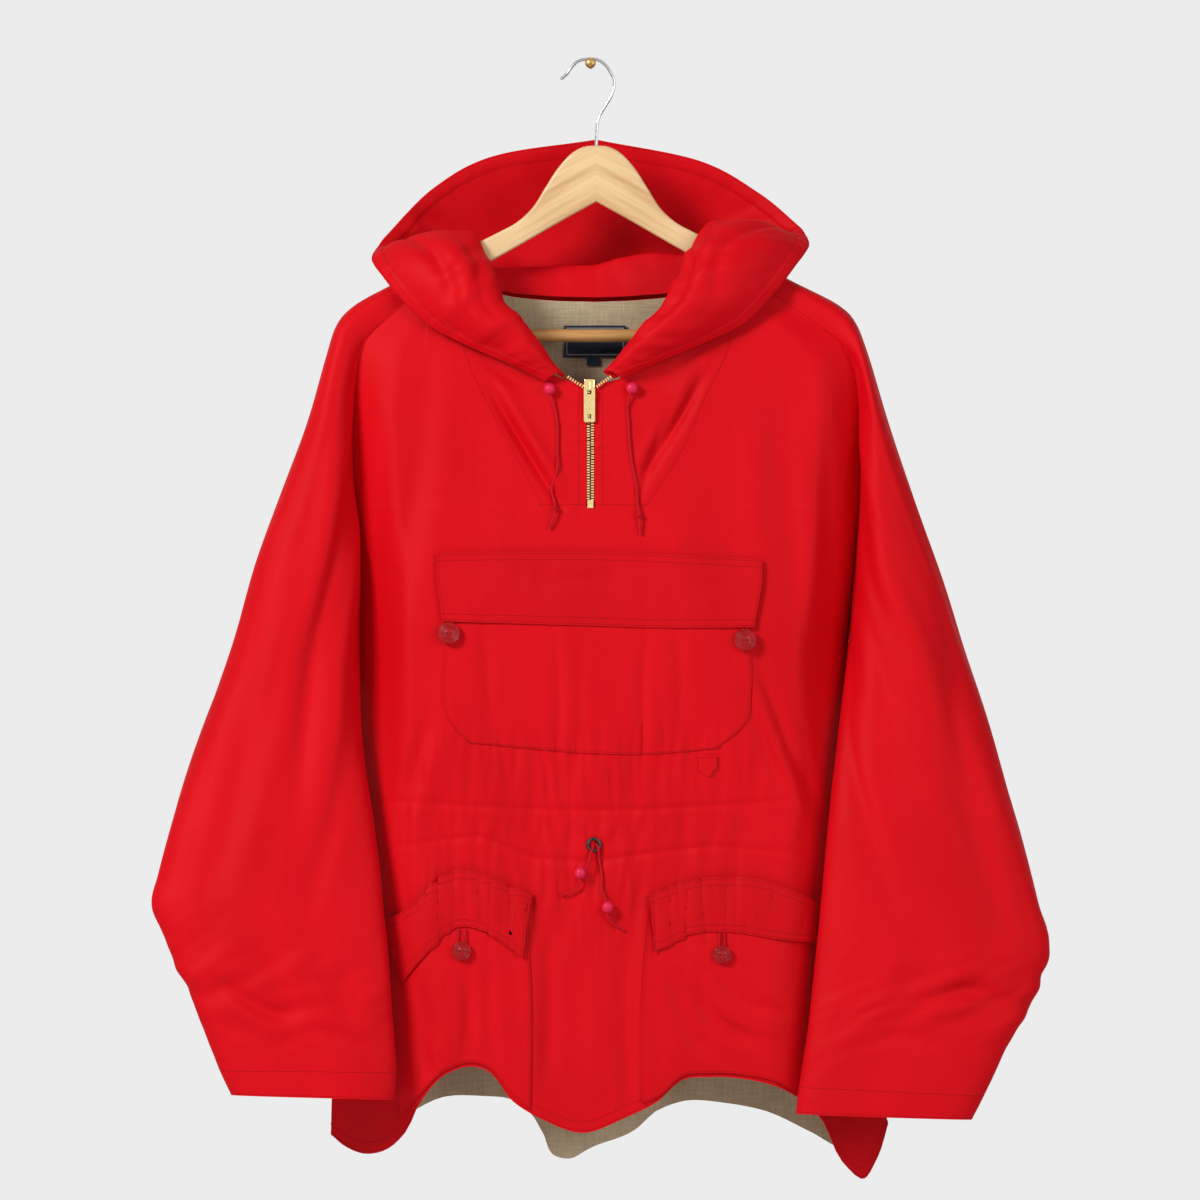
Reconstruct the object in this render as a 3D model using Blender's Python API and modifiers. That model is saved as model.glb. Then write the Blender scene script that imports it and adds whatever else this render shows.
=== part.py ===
"""Anorak pullover hanging from a wooden hanger on a wall pin.

Every cloth piece is its own wall, lofted from the short tables below and thickened with Solidify.
The origin is the inside of the hook's crown, where the pin carries the whole thing.
X runs to the right as seen from the front, the front faces -Y and Z is up.
Tables are in millimetres; make_mesh turns them into metres.
"""

import math

import bmesh
import bpy
import numpy as np
from mathutils import Vector

MM = 0.001

# ---------------------------------------------------------------- driving sizes, millimetres
CLOTH = 1.2                  # wall of every cloth piece
SEAM = 0.3                   # clear gap between two pieces that meet edge to edge
LAYER = CLOTH + 0.7          # middle of one layer to the middle of the next one on it
HANGER_MIDDLE = 5.2          # x of the hanger's stem and hook
HANGER_THICK = 12.0
BAR_DIAMETER = 11.7
BAR_HEIGHT = -248.5
HOOK_WIRE = 2.8
PIN_SHANK = 4.0
PIN_HEAD = 9.7
PIN_BACK = 64.0              # y of the pin's wall end
CORD = 2.2
BALL = 11.0
KNOT = 5.6
CHEST_BUTTON = 19.8
LOW_BUTTON = 16.6
BUTTON_THICK = 4.0
ZIP_WIDTH = 6.4
INSET_BOTTOM = -403.0
WAIST_EYELET = (3.0, -706.7)
EYELET_OUTER = 6.8
EYELET_HOLE = 4.0

# ---------------------------------------------------------------- body
# side edges, depth of their seams, depth of front and back, and how far in the front comes forward
BODY_COLUMNS = ("height", "left", "right", "edge_front", "edge_back", "front", "back", "rise")
BODY_ROWS = (
    (-170, -104, 110, -9, 9, -11, 11, 34),
    (-190, -128, 133, -13, 13, -15, 15, 34),
    (-223, -170, 178, -18, 18, -22, 22, 36),
    (-257, -204, 224, -20, 21, -31, 27, 38),
    (-278, -210, 237, -19, 23, -36, 30, 40),
    (-334, -215, 244, -9, 24, -40, 35, 42),
    (-403, -213, 243, -2, 22, -44, 38, 44),
    (-470, -208, 238, 3, 16, -50, 40, 46),
    (-530, -208, 232, 5.3, 6.7, -54, 41, 50),
    (-600, -213, 234, 5.3, 6.7, -55, 40, 56),
    (-690, -220, 240, 5.3, 6.7, -53, 37, 64),
    (-770, -227, 248, 5.3, 6.7, -56, 40, 86),
    (-860, -231, 259, 5.3, 6.7, -59, 44, 102),
    (-960, -234, 268, 5.3, 6.7, -60, 46, 108),
    (-1020, -235, 270, 5.3, 6.7, -60, 46, 108),
)
# heights of the raglan seam's points, shared by the front, the back and the sleeves
SEAM_HEIGHTS = (-190, -223, -245, -257, -278, -334, -403, -470, -530)
INSET_LEVEL = 6              # the seam point level with the inset's lower seam
BACK_SEAM_OUT = 5.0          # how much further out the back seam runs than the front one

# the neckline, left half, from the zip to the middle of the back
NECKLINE_COLUMNS = ("name", "x", "height", "panel")
NECKLINE_LEFT = (
    ("zip_end", -22, -289, "front"),
    ("collar_low", -56, -270, "front"),
    ("collar_mid", -86, -249, "front"),
    ("collar_high", -107, -227, "front"),
    ("inset_seam", -122, -203, "front"),
    ("raglan_front", -128, -190, "front"),
    ("arm_front", -131, -179.5, "arm"),
    ("shoulder", -132, -175.5, "top"),
    ("arm_back", -131, -179.5, "arm_behind"),
    ("raglan_back", -128, -190, "back"),
    ("nape_side", -82, -210, "back"),
    ("nape_mid", -40, -215.5, "back"),
    ("nape", 5, -217, "back"),
)

# seams of the neck inset, from the neckline down to its lower corners
INSET_SEAM_LEFT = ((-122, -203), (-124, -232), (-115, -262), (-99.5, -299), (-79, -338), (-59, -376), (-45.5, -403))
INSET_SEAM_RIGHT = ((127, -203), (131, -232), (124, -262), (104, -303), (84, -350), (64, -383), (50, -403))
# hems from the left side seam to the right one: x, height
HEM_FRONT = (
    (-234, -970), (-222, -979.5), (-202, -986), (-185, -982), (-167, -966), (-153, -938), (-127, -911), (-106, -905.5),
    (-95, -908), (-68, -938), (-43, -953), (-7, -965), (30, -952), (60, -937), (84, -917), (106, -915),
    (140, -917), (175, -927), (205, -950), (229, -995), (246, -1009), (258, -992), (269, -960),
)
HEM_BACK = (
    (-234, -971), (-205, -973), (-170, -955), (-134, -938), (-100, -937), (-64, -943), (-45, -966), (-33, -991),
    (-20, -994), (0, -984), (40, -968), (62, -949), (85, -941.5), (123, -943.5), (160, -951), (200, -969),
    (235, -985), (255, -982), (269, -961),
)

# soft vertical folds of the front: upper end, lower end, half width, depth (back is plus)
FOLD_COLUMNS = ("x_top", "top", "x_low", "low", "width", "depth")
FRONT_FOLDS = (
    (-158, -470, -176, -720, 20, 7),
    (-45, -620, -50, -985, 24, 5),
    (34, -640, 36, -985, 22, 5),
    (178, -500, 205, -740, 20, 7),
    (-140, -800, -128, -950, 26, 4),
    (150, -800, 140, -950, 28, 4),
    (-72, -296, -28, -420, 15, 5),
    (84, -290, 32, -420, 15, 5),
)

# ---------------------------------------------------------------- sleeves
# outer edge and inner edge of each section; the rows down to the underarm stand on SEAM_HEIGHTS,
# where the inner edge is the raglan seam
SLEEVE_OUTLINE_COLUMNS = ("out_x", "out_z", "in_x", "in_z")
SLEEVE_LEFT = (
    (-132, -175.5, None, -190),
    (-172, -199, None, -223),
    (-213, -222.5, None, -245),
    (-228, -240, None, -257),
    (-237, -269, None, -278),
    (-252, -324, None, -334),
    (-276, -392, None, -403),
    (-300, -455, None, -470),
    (-324, -532, None, -530),
    (-349, -603, -206, -611),
    (-371, -674, -196, -680),
    (-387, -730, -189, -732),
    (-393.5, -760, -186, -766),
    (-380, -794, -182, -800),
    (-357, -845, -178.5, -852),
    (-334.5, -901, -174.5, -906),
    (-321, -930, -176, -934),
)
SLEEVE_RIGHT = (
    (137, -172.5, None, -190),
    (176, -196.5, None, -223),
    (223, -221, None, -245),
    (238, -236, None, -257),
    (249, -263, None, -278),
    (267, -324, None, -334),
    (291, -394, None, -403),
    (315.5, -465, None, -470),
    (336, -532, None, -530),
    (361, -610, 223, -611),
    (385, -693, 214, -690),
    (401, -757, 208, -753),
    (411, -796, 203, -802),
    (398, -840, 199, -838),
    (378, -876, 195, -874),
    (351.5, -932, 187, -926),
    (341, -952, 184.5, -947),
)
# depth of each section: front and back of the tube, outer fold, inner fold below the underarm
SLEEVE_DEPTH_COLUMNS = ("front", "back", "outer", "inner")
SLEEVE_DEPTH = (
    (-12, 12, 0, None),
    (-18, 18, 0, None),
    (-24, 22, 0, None),
    (-29, 25, 0, None),
    (-36, 27, -2, None),
    (-45, 30, -4, None),
    (-52, 32, -6, None),
    (-57, 30, -8, None),
    (-62, 24, -10, 2),
    (-68, -2, -26, -32),
    (-76, -16, -40, -48),
    (-82, -27, -50, -57),
    (-86, -33, -57, -62),
    (-89, -39, -62, -66),
    (-92, -46, -68, -71),
    (-94, -51, -72, -73),
    (-94, -53, -73, -74),
)
UNDERARM_ROW = 8

# ---------------------------------------------------------------- hood
NECK_CLEAR = 1.8             # how far above the neckline the collar starts, at the front
NAPE_CLEAR = 4.2             # and behind
# sections of the left half, neck to rim; the neck ends come from NECKLINE_LEFT, row by row
HOOD_COLUMNS = ("name", "collar", "roll", "fall", "rim")
HOOD_LEFT = (
    ("zip_end", (-24, -42, -284), (-29, -47, -283), (-35, -48, -285), (-41, -43, -290)),
    ("collar_low", (-38, -50, -268), (-45, -57, -269), (-56, -55, -272), (-67, -43, -277)),
    ("collar_mid", (-55, -54, -243), (-68, -64, -245), (-88, -58, -251), (-109, -40, -258.5)),
    ("collar_high", (-76, -48, -220), (-92, -63, -220), (-118, -57, -227), (-145, -36, -240)),
    ("inset_seam", (-86, -28, -194), (-104, -54, -192), (-140, -52, -200), (-172, -33, -214)),
    ("raglan_front", (-93, -16, -178), (-112, -40, -172), (-153, -40, -180), (-187, -22, -195)),
    ("arm_front", (-98, -12.5, -164), (-118, -28, -160), (-158, -26, -167), (-194, -12, -186)),
    ("shoulder", (-106, -2, -154), (-128, -8, -152), (-164, -6, -158), (-197, 0, -178)),
    ("arm_back", (-114, 11, -163), (-132, 14, -163), (-163, 16, -162), (-192, 13, -168)),
    ("raglan_back", (-118, 20, -174), (-132, 32, -178), (-160, 34, -168), (-182, 24, -154)),
    ("nape_side", (-86, 31, -186), (-96, 50, -215), (-118, 56, -165), (-142, 40, -113)),
    ("nape_mid", (-42, 34, -186), (-50, 56, -238), (-68, 62, -160), (-88, 47, -84)),
    ("nape", (5, 36, -184), (5, 58, -246), (5, 62, -160), (5, 49, -69)),
)

# ---------------------------------------------------------------- pieces that lie on the front: x, height
CHEST_POCKET = {
    "top": ((-133, -462), (0, -462), (146, -466)),
    "bottom": ((-109, -615), (-60, -619.5), (0, -624.5), (60, -624.5), (113, -620)),
    "left": ((-133, -462), (-131, -530), (-127, -595), (-109, -615)),
    "right": ((146, -466), (143.5, -534), (138, -598), (113, -620)),
}
CHEST_FLAP = {
    "top": ((-138, -445.3), (0, -444.5), (154, -451)),
    "bottom": ((-133, -506.5), (-30, -509.5), (60, -512), (147, -512)),
    "left": ((-138, -445.3), (-138.5, -460), (-133, -506.5)),
    "right": ((154, -451), (154, -465), (147, -512)),
}
LOW_POCKET_LEFT = {
    "top": ((-182, -790), (-150, -768), (-118, -745), (-85, -752), (-57, -763)),
    "bottom": ((-170, -953), (-153, -932), (-127, -907), (-106, -901.5), (-90, -907), (-72, -928), (-54, -944)),
    "left": ((-182, -790), (-178, -870), (-170, -953)),
    "right": ((-57, -763), (-53.5, -850), (-54, -944)),
}
LOW_POCKET_RIGHT = {
    "top": ((52, -764), (90, -752), (120, -749), (165, -756), (198, -771)),
    "bottom": ((46, -938), (62, -931), (84, -913), (106, -911), (140, -913), (168, -920), (187, -933)),
    "left": ((52, -764), (46.5, -850), (46, -938)),
    "right": ((198, -771), (194, -860), (187, -933)),
}
LOW_FLAP_LEFT = {
    "top": ((-184, -778), (-155, -759), (-134, -735), (-120, -730), (-100, -732), (-82, -740), (-53.6, -750)),
    "bottom": ((-165, -830), (-145, -804), (-125, -783), (-108, -780.5), (-95, -785), (-73, -798.5), (-60, -807.5)),
    "left": ((-184, -778), (-165, -830)),
    "right": ((-53.6, -750), (-55.3, -757), (-60, -807.5)),
}
LOW_FLAP_RIGHT = {
    "top": ((51.8, -752), (91, -739), (115, -736), (143, -737), (168, -743), (200, -759)),
    "bottom": ((56, -803.5), (81.5, -791.3), (93, -786), (117, -785), (143, -787), (163, -791), (197, -795)),
    "left": ((51.8, -752), (56, -803.5)),
    "right": ((200, -759), (197, -795)),
}
LOOP_TAB = {
    "top": ((98.5, -626.5), (112.5, -626.5)),
    "bottom": ((98.5, -640), (105.5, -645), (112, -638)),
    "left": ((98.5, -626.5), (98.5, -640)),
    "right": ((112.5, -626.5), (112, -638)),
}
# name, x, height, diameter, height of the flap's edge that its cord loop comes from
BUTTONS = (
    ("chest_button_left", -126.5, -517.2, CHEST_BUTTON, -506.7),
    ("chest_button_right", 139.0, -523.0, CHEST_BUTTON, -512.1),
    ("low_button_left", -115.0, -801.6, LOW_BUTTON, -781.6),
    ("low_button_right", 118.0, -804.8, LOW_BUTTON, -785.0),
)
NECK_LABEL = (-24.0, 32.0, -238.0, -266.5)      # left, right, top, bottom
SIZE_TAB = (-3.0, 8.6, -267.0, -274.0)

# ---------------------------------------------------------------- zip and pull tab
SLIDER_X = -0.9
SLIDER_WIDTH = 9.4
SLIDER_TOP = -288.5
SLIDER_LOW = -299.0
SLIDER_THICK = 3.2
TAB_WIDTH = 10.0
TAB_LENGTH = 32.0
TAB_THICK = 1.2
TAB_AXIS_OUT = 1.4           # hinge axis in front of the slider's face
TAB_AXIS_Z = -296.0
TAB_BAR = 1.6                # height of the bar that the bail holds

# ---------------------------------------------------------------- hanger
# right half of the hanger's outline from its top, relative to the stem: x, height
HANGER_OUTER = (
    (0, -76.7), (11, -77.8), (19, -81.5), (32.9, -95), (46.4, -115.4), (58, -133.4), (72, -146.3), (88, -155),
    (104.4, -163.2), (150, -188.5), (200, -217), (221, -228.6), (226.8, -234.4), (226.8, -252), (220, -262), (207, -262),
)
HANGER_INNER = ((197, -239), (150, -209.5), (94.8, -181), (0, -127.5))
HOOK_POINTS = (
    (-27.1, -16.7), (-22.0, -12.6), (-16.2, -4.8), (-11.2, -0.4), (-5.9, 1.2), (0.0, 1.5), (5.5, 1.2), (11.7, -2.2),
    (17.9, -10.2), (21.5, -19.2), (21.0, -25.4), (17.9, -33.5), (12.7, -42.0), (8.5, -49.3), (6.5, -55.2),
    (5.7, -63.7), (5.2, -76.0), (5.2, -96.0),
)

# ---------------------------------------------------------------- cords: routes in x, height, distance off the cloth
HOOD_CORD_LEFT = (
    (-37.4, -291.6, 6.6), (-36.5, -297.2, 6.4), (-35.6, -303.6, 6.2), (-32.4, -313.0, 3.6), (-29.6, -330.0, 3.0),
    (-29.5, -350.0, 2.9), (-30.8, -370.0, 2.9), (-32.9, -388.0, 3.0), (-32.6, -402.0, 4.4), (-32.2, -407.4, 5.8),
    (-33.2, -413.4, 5.4), (-36.9, -423.2, 3.6),
)
HOOD_CORD_RIGHT = (
    (37.6, -290.8, 6.6), (36.5, -296.3, 6.4), (35.2, -302.6, 6.2), (33.4, -312.0, 3.6), (34.2, -326.0, 3.0),
    (36.5, -355.7, 2.9), (41.0, -386.3, 3.0), (42.6, -401.0, 3.6), (43.2, -407.4, 5.4), (44.1, -413.6, 5.4),
    (44.6, -428.2, 3.6),
)
WAIST_CORD_LEFT = (
    (1.3, -706.2, 2.1), (1.0, -709.2, 4.8), (-0.6, -715.5, 6.4), (-4.7, -727.6, 6.6), (-6.8, -733.7, 6.6),
    (-8.9, -739.8, 6.6), (-14.0, -745.4, 5.4), (-26.0, -752.2, 3.6),
)
WAIST_CORD_RIGHT = (
    (4.8, -706.6, 2.1), (5.3, -709.6, 4.6), (7.8, -718.4, 3.6), (10.4, -733.7, 3.0), (11.0, -750.0, 4.6),
    (12.2, -757.2, 6.4), (12.9, -763.4, 6.6), (13.7, -769.6, 6.6), (19.0, -776.4, 5.4), (29.6, -782.8, 3.6),
)


# ================================================================ curves and tables
def named(columns, rows):
    """A table's rows with their values under the names of its columns."""
    return [dict(zip(columns, row)) for row in rows]


class Profile:
    """Columns of a table, read smoothly at any height."""

    def __init__(self, columns, rows):
        data = np.array(sorted(rows), dtype=float)
        self.keys = data[:, 0]
        self.values = {name: data[:, i] for i, name in enumerate(columns)}
        self.slopes = {name: steady_slopes(self.keys, data[:, i]) for i, name in enumerate(columns)}

    def read(self, name, key):
        return cubic_read(self.keys, self.values[name], self.slopes[name], key)


def steady_slopes(x, y):
    """Slopes that keep a cubic from overshooting its points."""
    step = np.diff(x)
    rate = np.diff(y) / step
    slope = np.zeros(len(x))
    for i in range(1, len(x) - 1):
        if rate[i - 1] * rate[i] > 0:
            first = 2 * step[i] + step[i - 1]
            second = step[i] + 2 * step[i - 1]
            slope[i] = (first + second) / (first / rate[i - 1] + second / rate[i])
    slope[0] = rate[0]
    slope[-1] = rate[-1]
    return slope


def cubic_read(x, y, slope, at):
    at = np.clip(at, x[0], x[-1])
    i = np.clip(np.searchsorted(x, at) - 1, 0, len(x) - 2)
    step = x[i + 1] - x[i]
    t = (at - x[i]) / step
    ease = t * t * (3 - 2 * t)
    lead = t * (1 - t) ** 2
    trail = t * t * (t - 1)
    return y[i] * (1 - ease) + y[i + 1] * ease + step * (slope[i] * lead + slope[i + 1] * trail)


def along(points, shares):
    """Points of a smooth curve through the given ones, at shares 0..1 of its length."""
    points = np.array(points, dtype=float)
    reach = np.concatenate(([0.0], np.cumsum(np.linalg.norm(np.diff(points, axis=0), axis=1))))
    reach = reach / reach[-1]
    columns = []
    for i in range(points.shape[1]):
        tangent = np.gradient(points[:, i], reach)
        columns.append(cubic_read(reach, points[:, i], tangent, np.array(shares)))
    return np.stack(columns, axis=-1)


def spread(count):
    return np.linspace(0, 1, count + 1)


def coons(top, bottom, left, right):
    """Grid of points between four edges that meet at their corners."""
    rows, columns = len(left), len(top)
    grid = np.zeros((rows, columns, top.shape[1]))
    for i in range(rows):
        for j in range(columns):
            s = chord_share(top, j) * (1 - i / (rows - 1)) + chord_share(bottom, j) * i / (rows - 1)
            t = chord_share(left, i) * (1 - s) + chord_share(right, i) * s
            ruled = (1 - t) * top[j] + t * bottom[j] + (1 - s) * left[i] + s * right[i]
            corners = (1 - s) * (1 - t) * top[0] + s * (1 - t) * top[-1] + (1 - s) * t * bottom[0] + s * t * bottom[-1]
            grid[i, j] = ruled - corners
    return grid


def chord_share(line, index):
    lengths = np.linalg.norm(np.diff(line, axis=0), axis=1)
    return lengths[:index].sum() / lengths.sum()


BODY = Profile(BODY_COLUMNS, BODY_ROWS)


# ================================================================ the body's two faces
def fold_depth(folds, x, z):
    """Depth of all folds at a point; each fades out at its ends."""
    total = np.zeros(np.broadcast(x, z).shape)
    for fold in named(FOLD_COLUMNS, folds):
        share = np.clip((fold["top"] - z) / (fold["top"] - fold["low"]), 0, 1)
        middle = fold["x_top"] + (fold["x_low"] - fold["x_top"]) * share
        fade = np.sin(np.pi * np.clip(0.04 + 0.72 * share, 0, 1)) * (z < fold["top"])
        fade = fade * np.clip((z - fold["low"] + 30) / 30, 0, 1)
        total = total + fold["depth"] * fade * np.exp(-((x - middle) / fold["width"]) ** 2)
    return total


def lift_from_edge(x, z):
    left = BODY.read("left", z)
    right = BODY.read("right", z)
    inside = np.clip(np.minimum(x - left, right - x) / BODY.read("rise", z), 0, 1)
    return 0.55 * (1 - (1 - inside) ** 2) + 0.45 * inside * inside * (3 - 2 * inside)


def front_y(x, z):
    lift = lift_from_edge(x, z)
    edge = BODY.read("edge_front", z)
    return edge + (BODY.read("front", z) - edge + fold_depth(FRONT_FOLDS, x, z)) * lift


def back_y(x, z):
    lift = lift_from_edge(x, z)
    edge = BODY.read("edge_back", z)
    return edge + (BODY.read("back", z) - edge) * lift


def on_front(x, z, out=0.0):
    """Points of the front, moved outward along its own normal."""
    x = np.asarray(x, dtype=float)
    z = np.asarray(z, dtype=float)
    span = 2.0
    slope_x = (front_y(x + span, z) - front_y(x - span, z)) / (2 * span)
    slope_z = (front_y(x, z + span) - front_y(x, z - span)) / (2 * span)
    length = np.sqrt(1 + slope_x ** 2 + slope_z ** 2)
    return np.stack([x + out * slope_x / length, front_y(x, z) - out / length, z + out * slope_z / length], axis=-1)


def on_back(x, z, out=0.0):
    return np.stack([x, back_y(x, z) + out, z], axis=-1)


# ================================================================ Blender helpers
def clear_scene():
    for item in list(bpy.data.objects):
        bpy.data.objects.remove(item)


def make_material(name, rgb, roughness, metallic=0.0):
    material = bpy.data.materials.new(name)
    material.use_nodes = True
    shader = material.node_tree.nodes["Principled BSDF"]
    shader.inputs["Base Color"].default_value = (*rgb, 1.0)
    shader.inputs["Roughness"].default_value = roughness
    shader.inputs["Metallic"].default_value = metallic
    material.diffuse_color = (*rgb, 1.0)
    return material


def add_object(name, data, material, collection):
    item = bpy.data.objects.new(name, data)
    item.data.materials.append(material)
    collection.objects.link(item)
    return item


def make_mesh(name, points, faces):
    """A mesh from points in millimetres; points that coincide become one."""
    mesh = bpy.data.meshes.new(name)
    mesh.from_pydata([Vector(p) * MM for p in points], [], faces)
    work = bmesh.new()
    work.from_mesh(mesh)
    bmesh.ops.remove_doubles(work, verts=work.verts, dist=0.01 * MM)
    bmesh.ops.recalc_face_normals(work, faces=work.faces)
    work.to_mesh(mesh)
    work.free()
    mesh.shade_smooth()
    return mesh


def cloth(name, grids, material, collection, thick=CLOTH):
    """One cloth piece: open grids that share edges, thickened about their middle."""
    points = []
    faces = []
    for grid in grids:
        start = len(points)
        rows, columns = grid.shape[:2]
        points.extend(tuple(p) for p in grid.reshape(-1, 3))
        for i in range(rows - 1):
            for j in range(columns - 1):
                corner = start + i * columns + j
                faces.append((corner, corner + columns, corner + columns + 1, corner + 1))
    item = add_object(name, make_mesh(name, points, faces), material, collection)
    wall = item.modifiers.new("wall", "SOLIDIFY")
    wall.thickness = thick * MM
    wall.offset = 0.0
    return item


def tube(name, points, diameter, material, collection, resolution=2):
    """A round wire or cord along points in millimetres, with filled ends."""
    curve = bpy.data.curves.new(name, "CURVE")
    curve.dimensions = "3D"
    curve.bevel_depth = diameter / 2 * MM
    curve.bevel_resolution = resolution
    curve.use_fill_caps = True
    spline = curve.splines.new("POLY")
    spline.points.add(len(points) - 1)
    for slot, point in zip(spline.points, points):
        slot.co = (point[0] * MM, point[1] * MM, point[2] * MM, 1.0)
    return add_object(name, curve, material, collection)


def turned(name, profile, material, collection, steps=24):
    """A turned piece about Z from a profile of radius, height, outer side top to bottom."""
    mesh = bpy.data.meshes.new(name)
    points = [(radius * MM, 0.0, height * MM) for radius, height in profile]
    mesh.from_pydata(points, [(i, i + 1) for i in range(len(points) - 1)], [])
    item = add_object(name, mesh, material, collection)
    screw = item.modifiers.new("turn", "SCREW")
    screw.steps = steps
    screw.render_steps = steps
    screw.use_merge_vertices = True
    screw.merge_threshold = 0.00001
    screw.use_smooth_shade = True
    return item


def drill(item, tool, cutters):
    cutters.objects.link(tool)
    tool.hide_render = True
    tool.display_type = "WIRE"
    cut = item.modifiers.new("cut", "BOOLEAN")
    cut.operation = "DIFFERENCE"
    cut.object = tool


def cylinder_tool(name, centre, axis, diameter, length):
    """A cutter along an axis, centred on a point in millimetres."""
    work = bmesh.new()
    bmesh.ops.create_cone(work, cap_ends=True, segments=16, radius1=diameter / 2 * MM, radius2=diameter / 2 * MM,
                          depth=length * MM)
    mesh = bpy.data.meshes.new(name)
    work.to_mesh(mesh)
    work.free()
    tool = bpy.data.objects.new(name, mesh)
    tool.location = Vector(centre) * MM
    tool.rotation_euler = Vector(axis).to_track_quat("Z", "Y").to_euler()
    return tool


def flat_plate(name, outlines, thick, material, collection):
    """A plate from outlines in its own plane; the first is the edge, the rest are holes."""
    curve = bpy.data.curves.new(name, "CURVE")
    curve.dimensions = "2D"
    curve.fill_mode = "BOTH"
    curve.extrude = thick / 2 * MM
    for outline in outlines:
        spline = curve.splines.new("POLY")
        spline.points.add(len(outline) - 1)
        spline.use_cyclic_u = True
        for slot, (u, v) in zip(spline.points, outline):
            slot.co = (u * MM, v * MM, 0.0, 1.0)
    return add_object(name, curve, material, collection)


def settle(item):
    """Turns a curve object into a welded mesh object in the same place."""
    bpy.context.view_layer.update()
    graph = bpy.context.evaluated_depsgraph_get()
    mesh = bpy.data.meshes.new_from_object(item.evaluated_get(graph))
    work = bmesh.new()
    work.from_mesh(mesh)
    bmesh.ops.remove_doubles(work, verts=work.verts, dist=0.005 * MM)
    bmesh.ops.recalc_face_normals(work, faces=work.faces)
    work.to_mesh(mesh)
    work.free()
    name = item.name
    solid = bpy.data.objects.new("settled", mesh)
    item.users_collection[0].objects.link(solid)
    solid.matrix_world = item.matrix_world
    bpy.data.objects.remove(item)
    solid.name = name
    return solid


# ================================================================ neckline
def neck_points(side):
    """The neckline's points on one half, from the zip to the nape; side is -1 left, 1 right."""
    points = []
    for row in named(NECKLINE_COLUMNS, NECKLINE_LEFT):
        z, panel = row["height"], row["panel"]
        across = row["x"] if side < 0 else mirrored_x(row["x"])
        if panel == "front":
            points.append((across, float(front_y(across, z)), z))
        elif panel == "back":
            points.append((across, float(back_y(across, z)), z))
        else:
            points.append((across, {"arm": -10.0, "top": 0.0, "arm_behind": 10.0}[panel], z + (3 if side > 0 else 0)))
    return points


def mirrored_x(x):
    """The right half of the neck stands five millimetres further out at the shoulder."""
    return x if x > 0 else -x + 5.0 * min(-x / 128.0, 1.0)


def neck_edge(side, first, last, count):
    """Part of the front or back neckline in x and height, between two named points."""
    names = [row[0] for row in NECKLINE_LEFT]
    points = neck_points(side)[names.index(first): names.index(last) + 1]
    return along([(p[0], p[2]) for p in points], spread(count))


# ================================================================ cloth pieces
def inset_seam(side, count):
    return along(INSET_SEAM_LEFT if side < 0 else INSET_SEAM_RIGHT, spread(count))


def edge_name(side):
    return "left" if side < 0 else "right"


def raglan_edge(side, last):
    """The raglan seam in x and height, down to one of its points."""
    z = np.array(SEAM_HEIGHTS[:last + 1], dtype=float)
    return np.stack([BODY.read(edge_name(side), z), z], axis=-1)


def armhole_gap(z):
    """Half gap at the raglan seam: fine on the chest, wider where the sleeve folds into the valley."""
    return 0.75 + 0.3 * np.clip((-z - 262) / 40, 0, 1)


def back_seam_shift(z):
    """The back seam runs further out than the front one between chest and underarm."""
    return BACK_SEAM_OUT * np.interp(-z, (190, 260, 470, 530), (0, 1, 1, 0))


def build_front(material, collection):
    """Front body: two shoulder straps beside the inset and the whole panel below it."""
    share = np.array([0, 0.045, 0.11, 0.20, 0.34, 0.54, 0.77, 1.0])
    grids = []
    corners = {}
    for side in (-1, 1):
        outer = raglan_edge(side, INSET_LEVEL)
        outer[:, 0] -= side * armhole_gap(outer[:, 1])
        seam = inset_seam(side, INSET_LEVEL)
        top = outer[0] + (seam[0] - outer[0]) * share[:, None]
        low = outer[-1] + (seam[-1] - outer[-1]) * share[:, None]
        flat = coons(top, low, outer, seam)
        grids.append(on_front(flat[..., 0], flat[..., 1]))
        corners[side] = low
    middle = np.linspace(corners[-1][-1], corners[1][-1], 5)
    top = np.concatenate([corners[-1], middle[1:-1], corners[1][::-1]])
    hem = along(HEM_FRONT, spread(60))
    bottom_x = spaced_like(top[:, 0], hem[0, 0] + 0.9, hem[-1, 0] - 0.9)
    bottom = np.stack([bottom_x, np.interp(bottom_x, hem[:, 0], hem[:, 1])], axis=-1)
    left = side_line(-1, top[0], bottom[0])
    right = side_line(1, top[-1], bottom[-1])
    flat = coons(top, bottom, left, right)
    lower = on_front(flat[..., 0], flat[..., 1])
    grids.append(lower)
    cloth("front_body", grids, material, collection)


def spaced_like(source, first, last):
    share = (source - source[0]) / (source[-1] - source[0])
    return first + (last - first) * share


def side_line(side, top, bottom, first=INSET_LEVEL, outward=0.0):
    """A side edge from a seam point down to the hem, clear of the piece it meets."""
    low = np.array([0.13, 0.28, 0.42, 0.56, 0.70, 0.84, 1.0])
    z = np.concatenate([SEAM_HEIGHTS[first:], SEAM_HEIGHTS[-1] + (bottom[1] - SEAM_HEIGHTS[-1]) * low])
    gap = np.where(z > SEAM_HEIGHTS[-1], armhole_gap(z), 0.9) - outward * back_seam_shift(z)
    line = np.stack([BODY.read(edge_name(side), z) - side * gap, z], axis=-1)
    line[0] = top
    line[-1] = bottom
    return line


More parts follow.
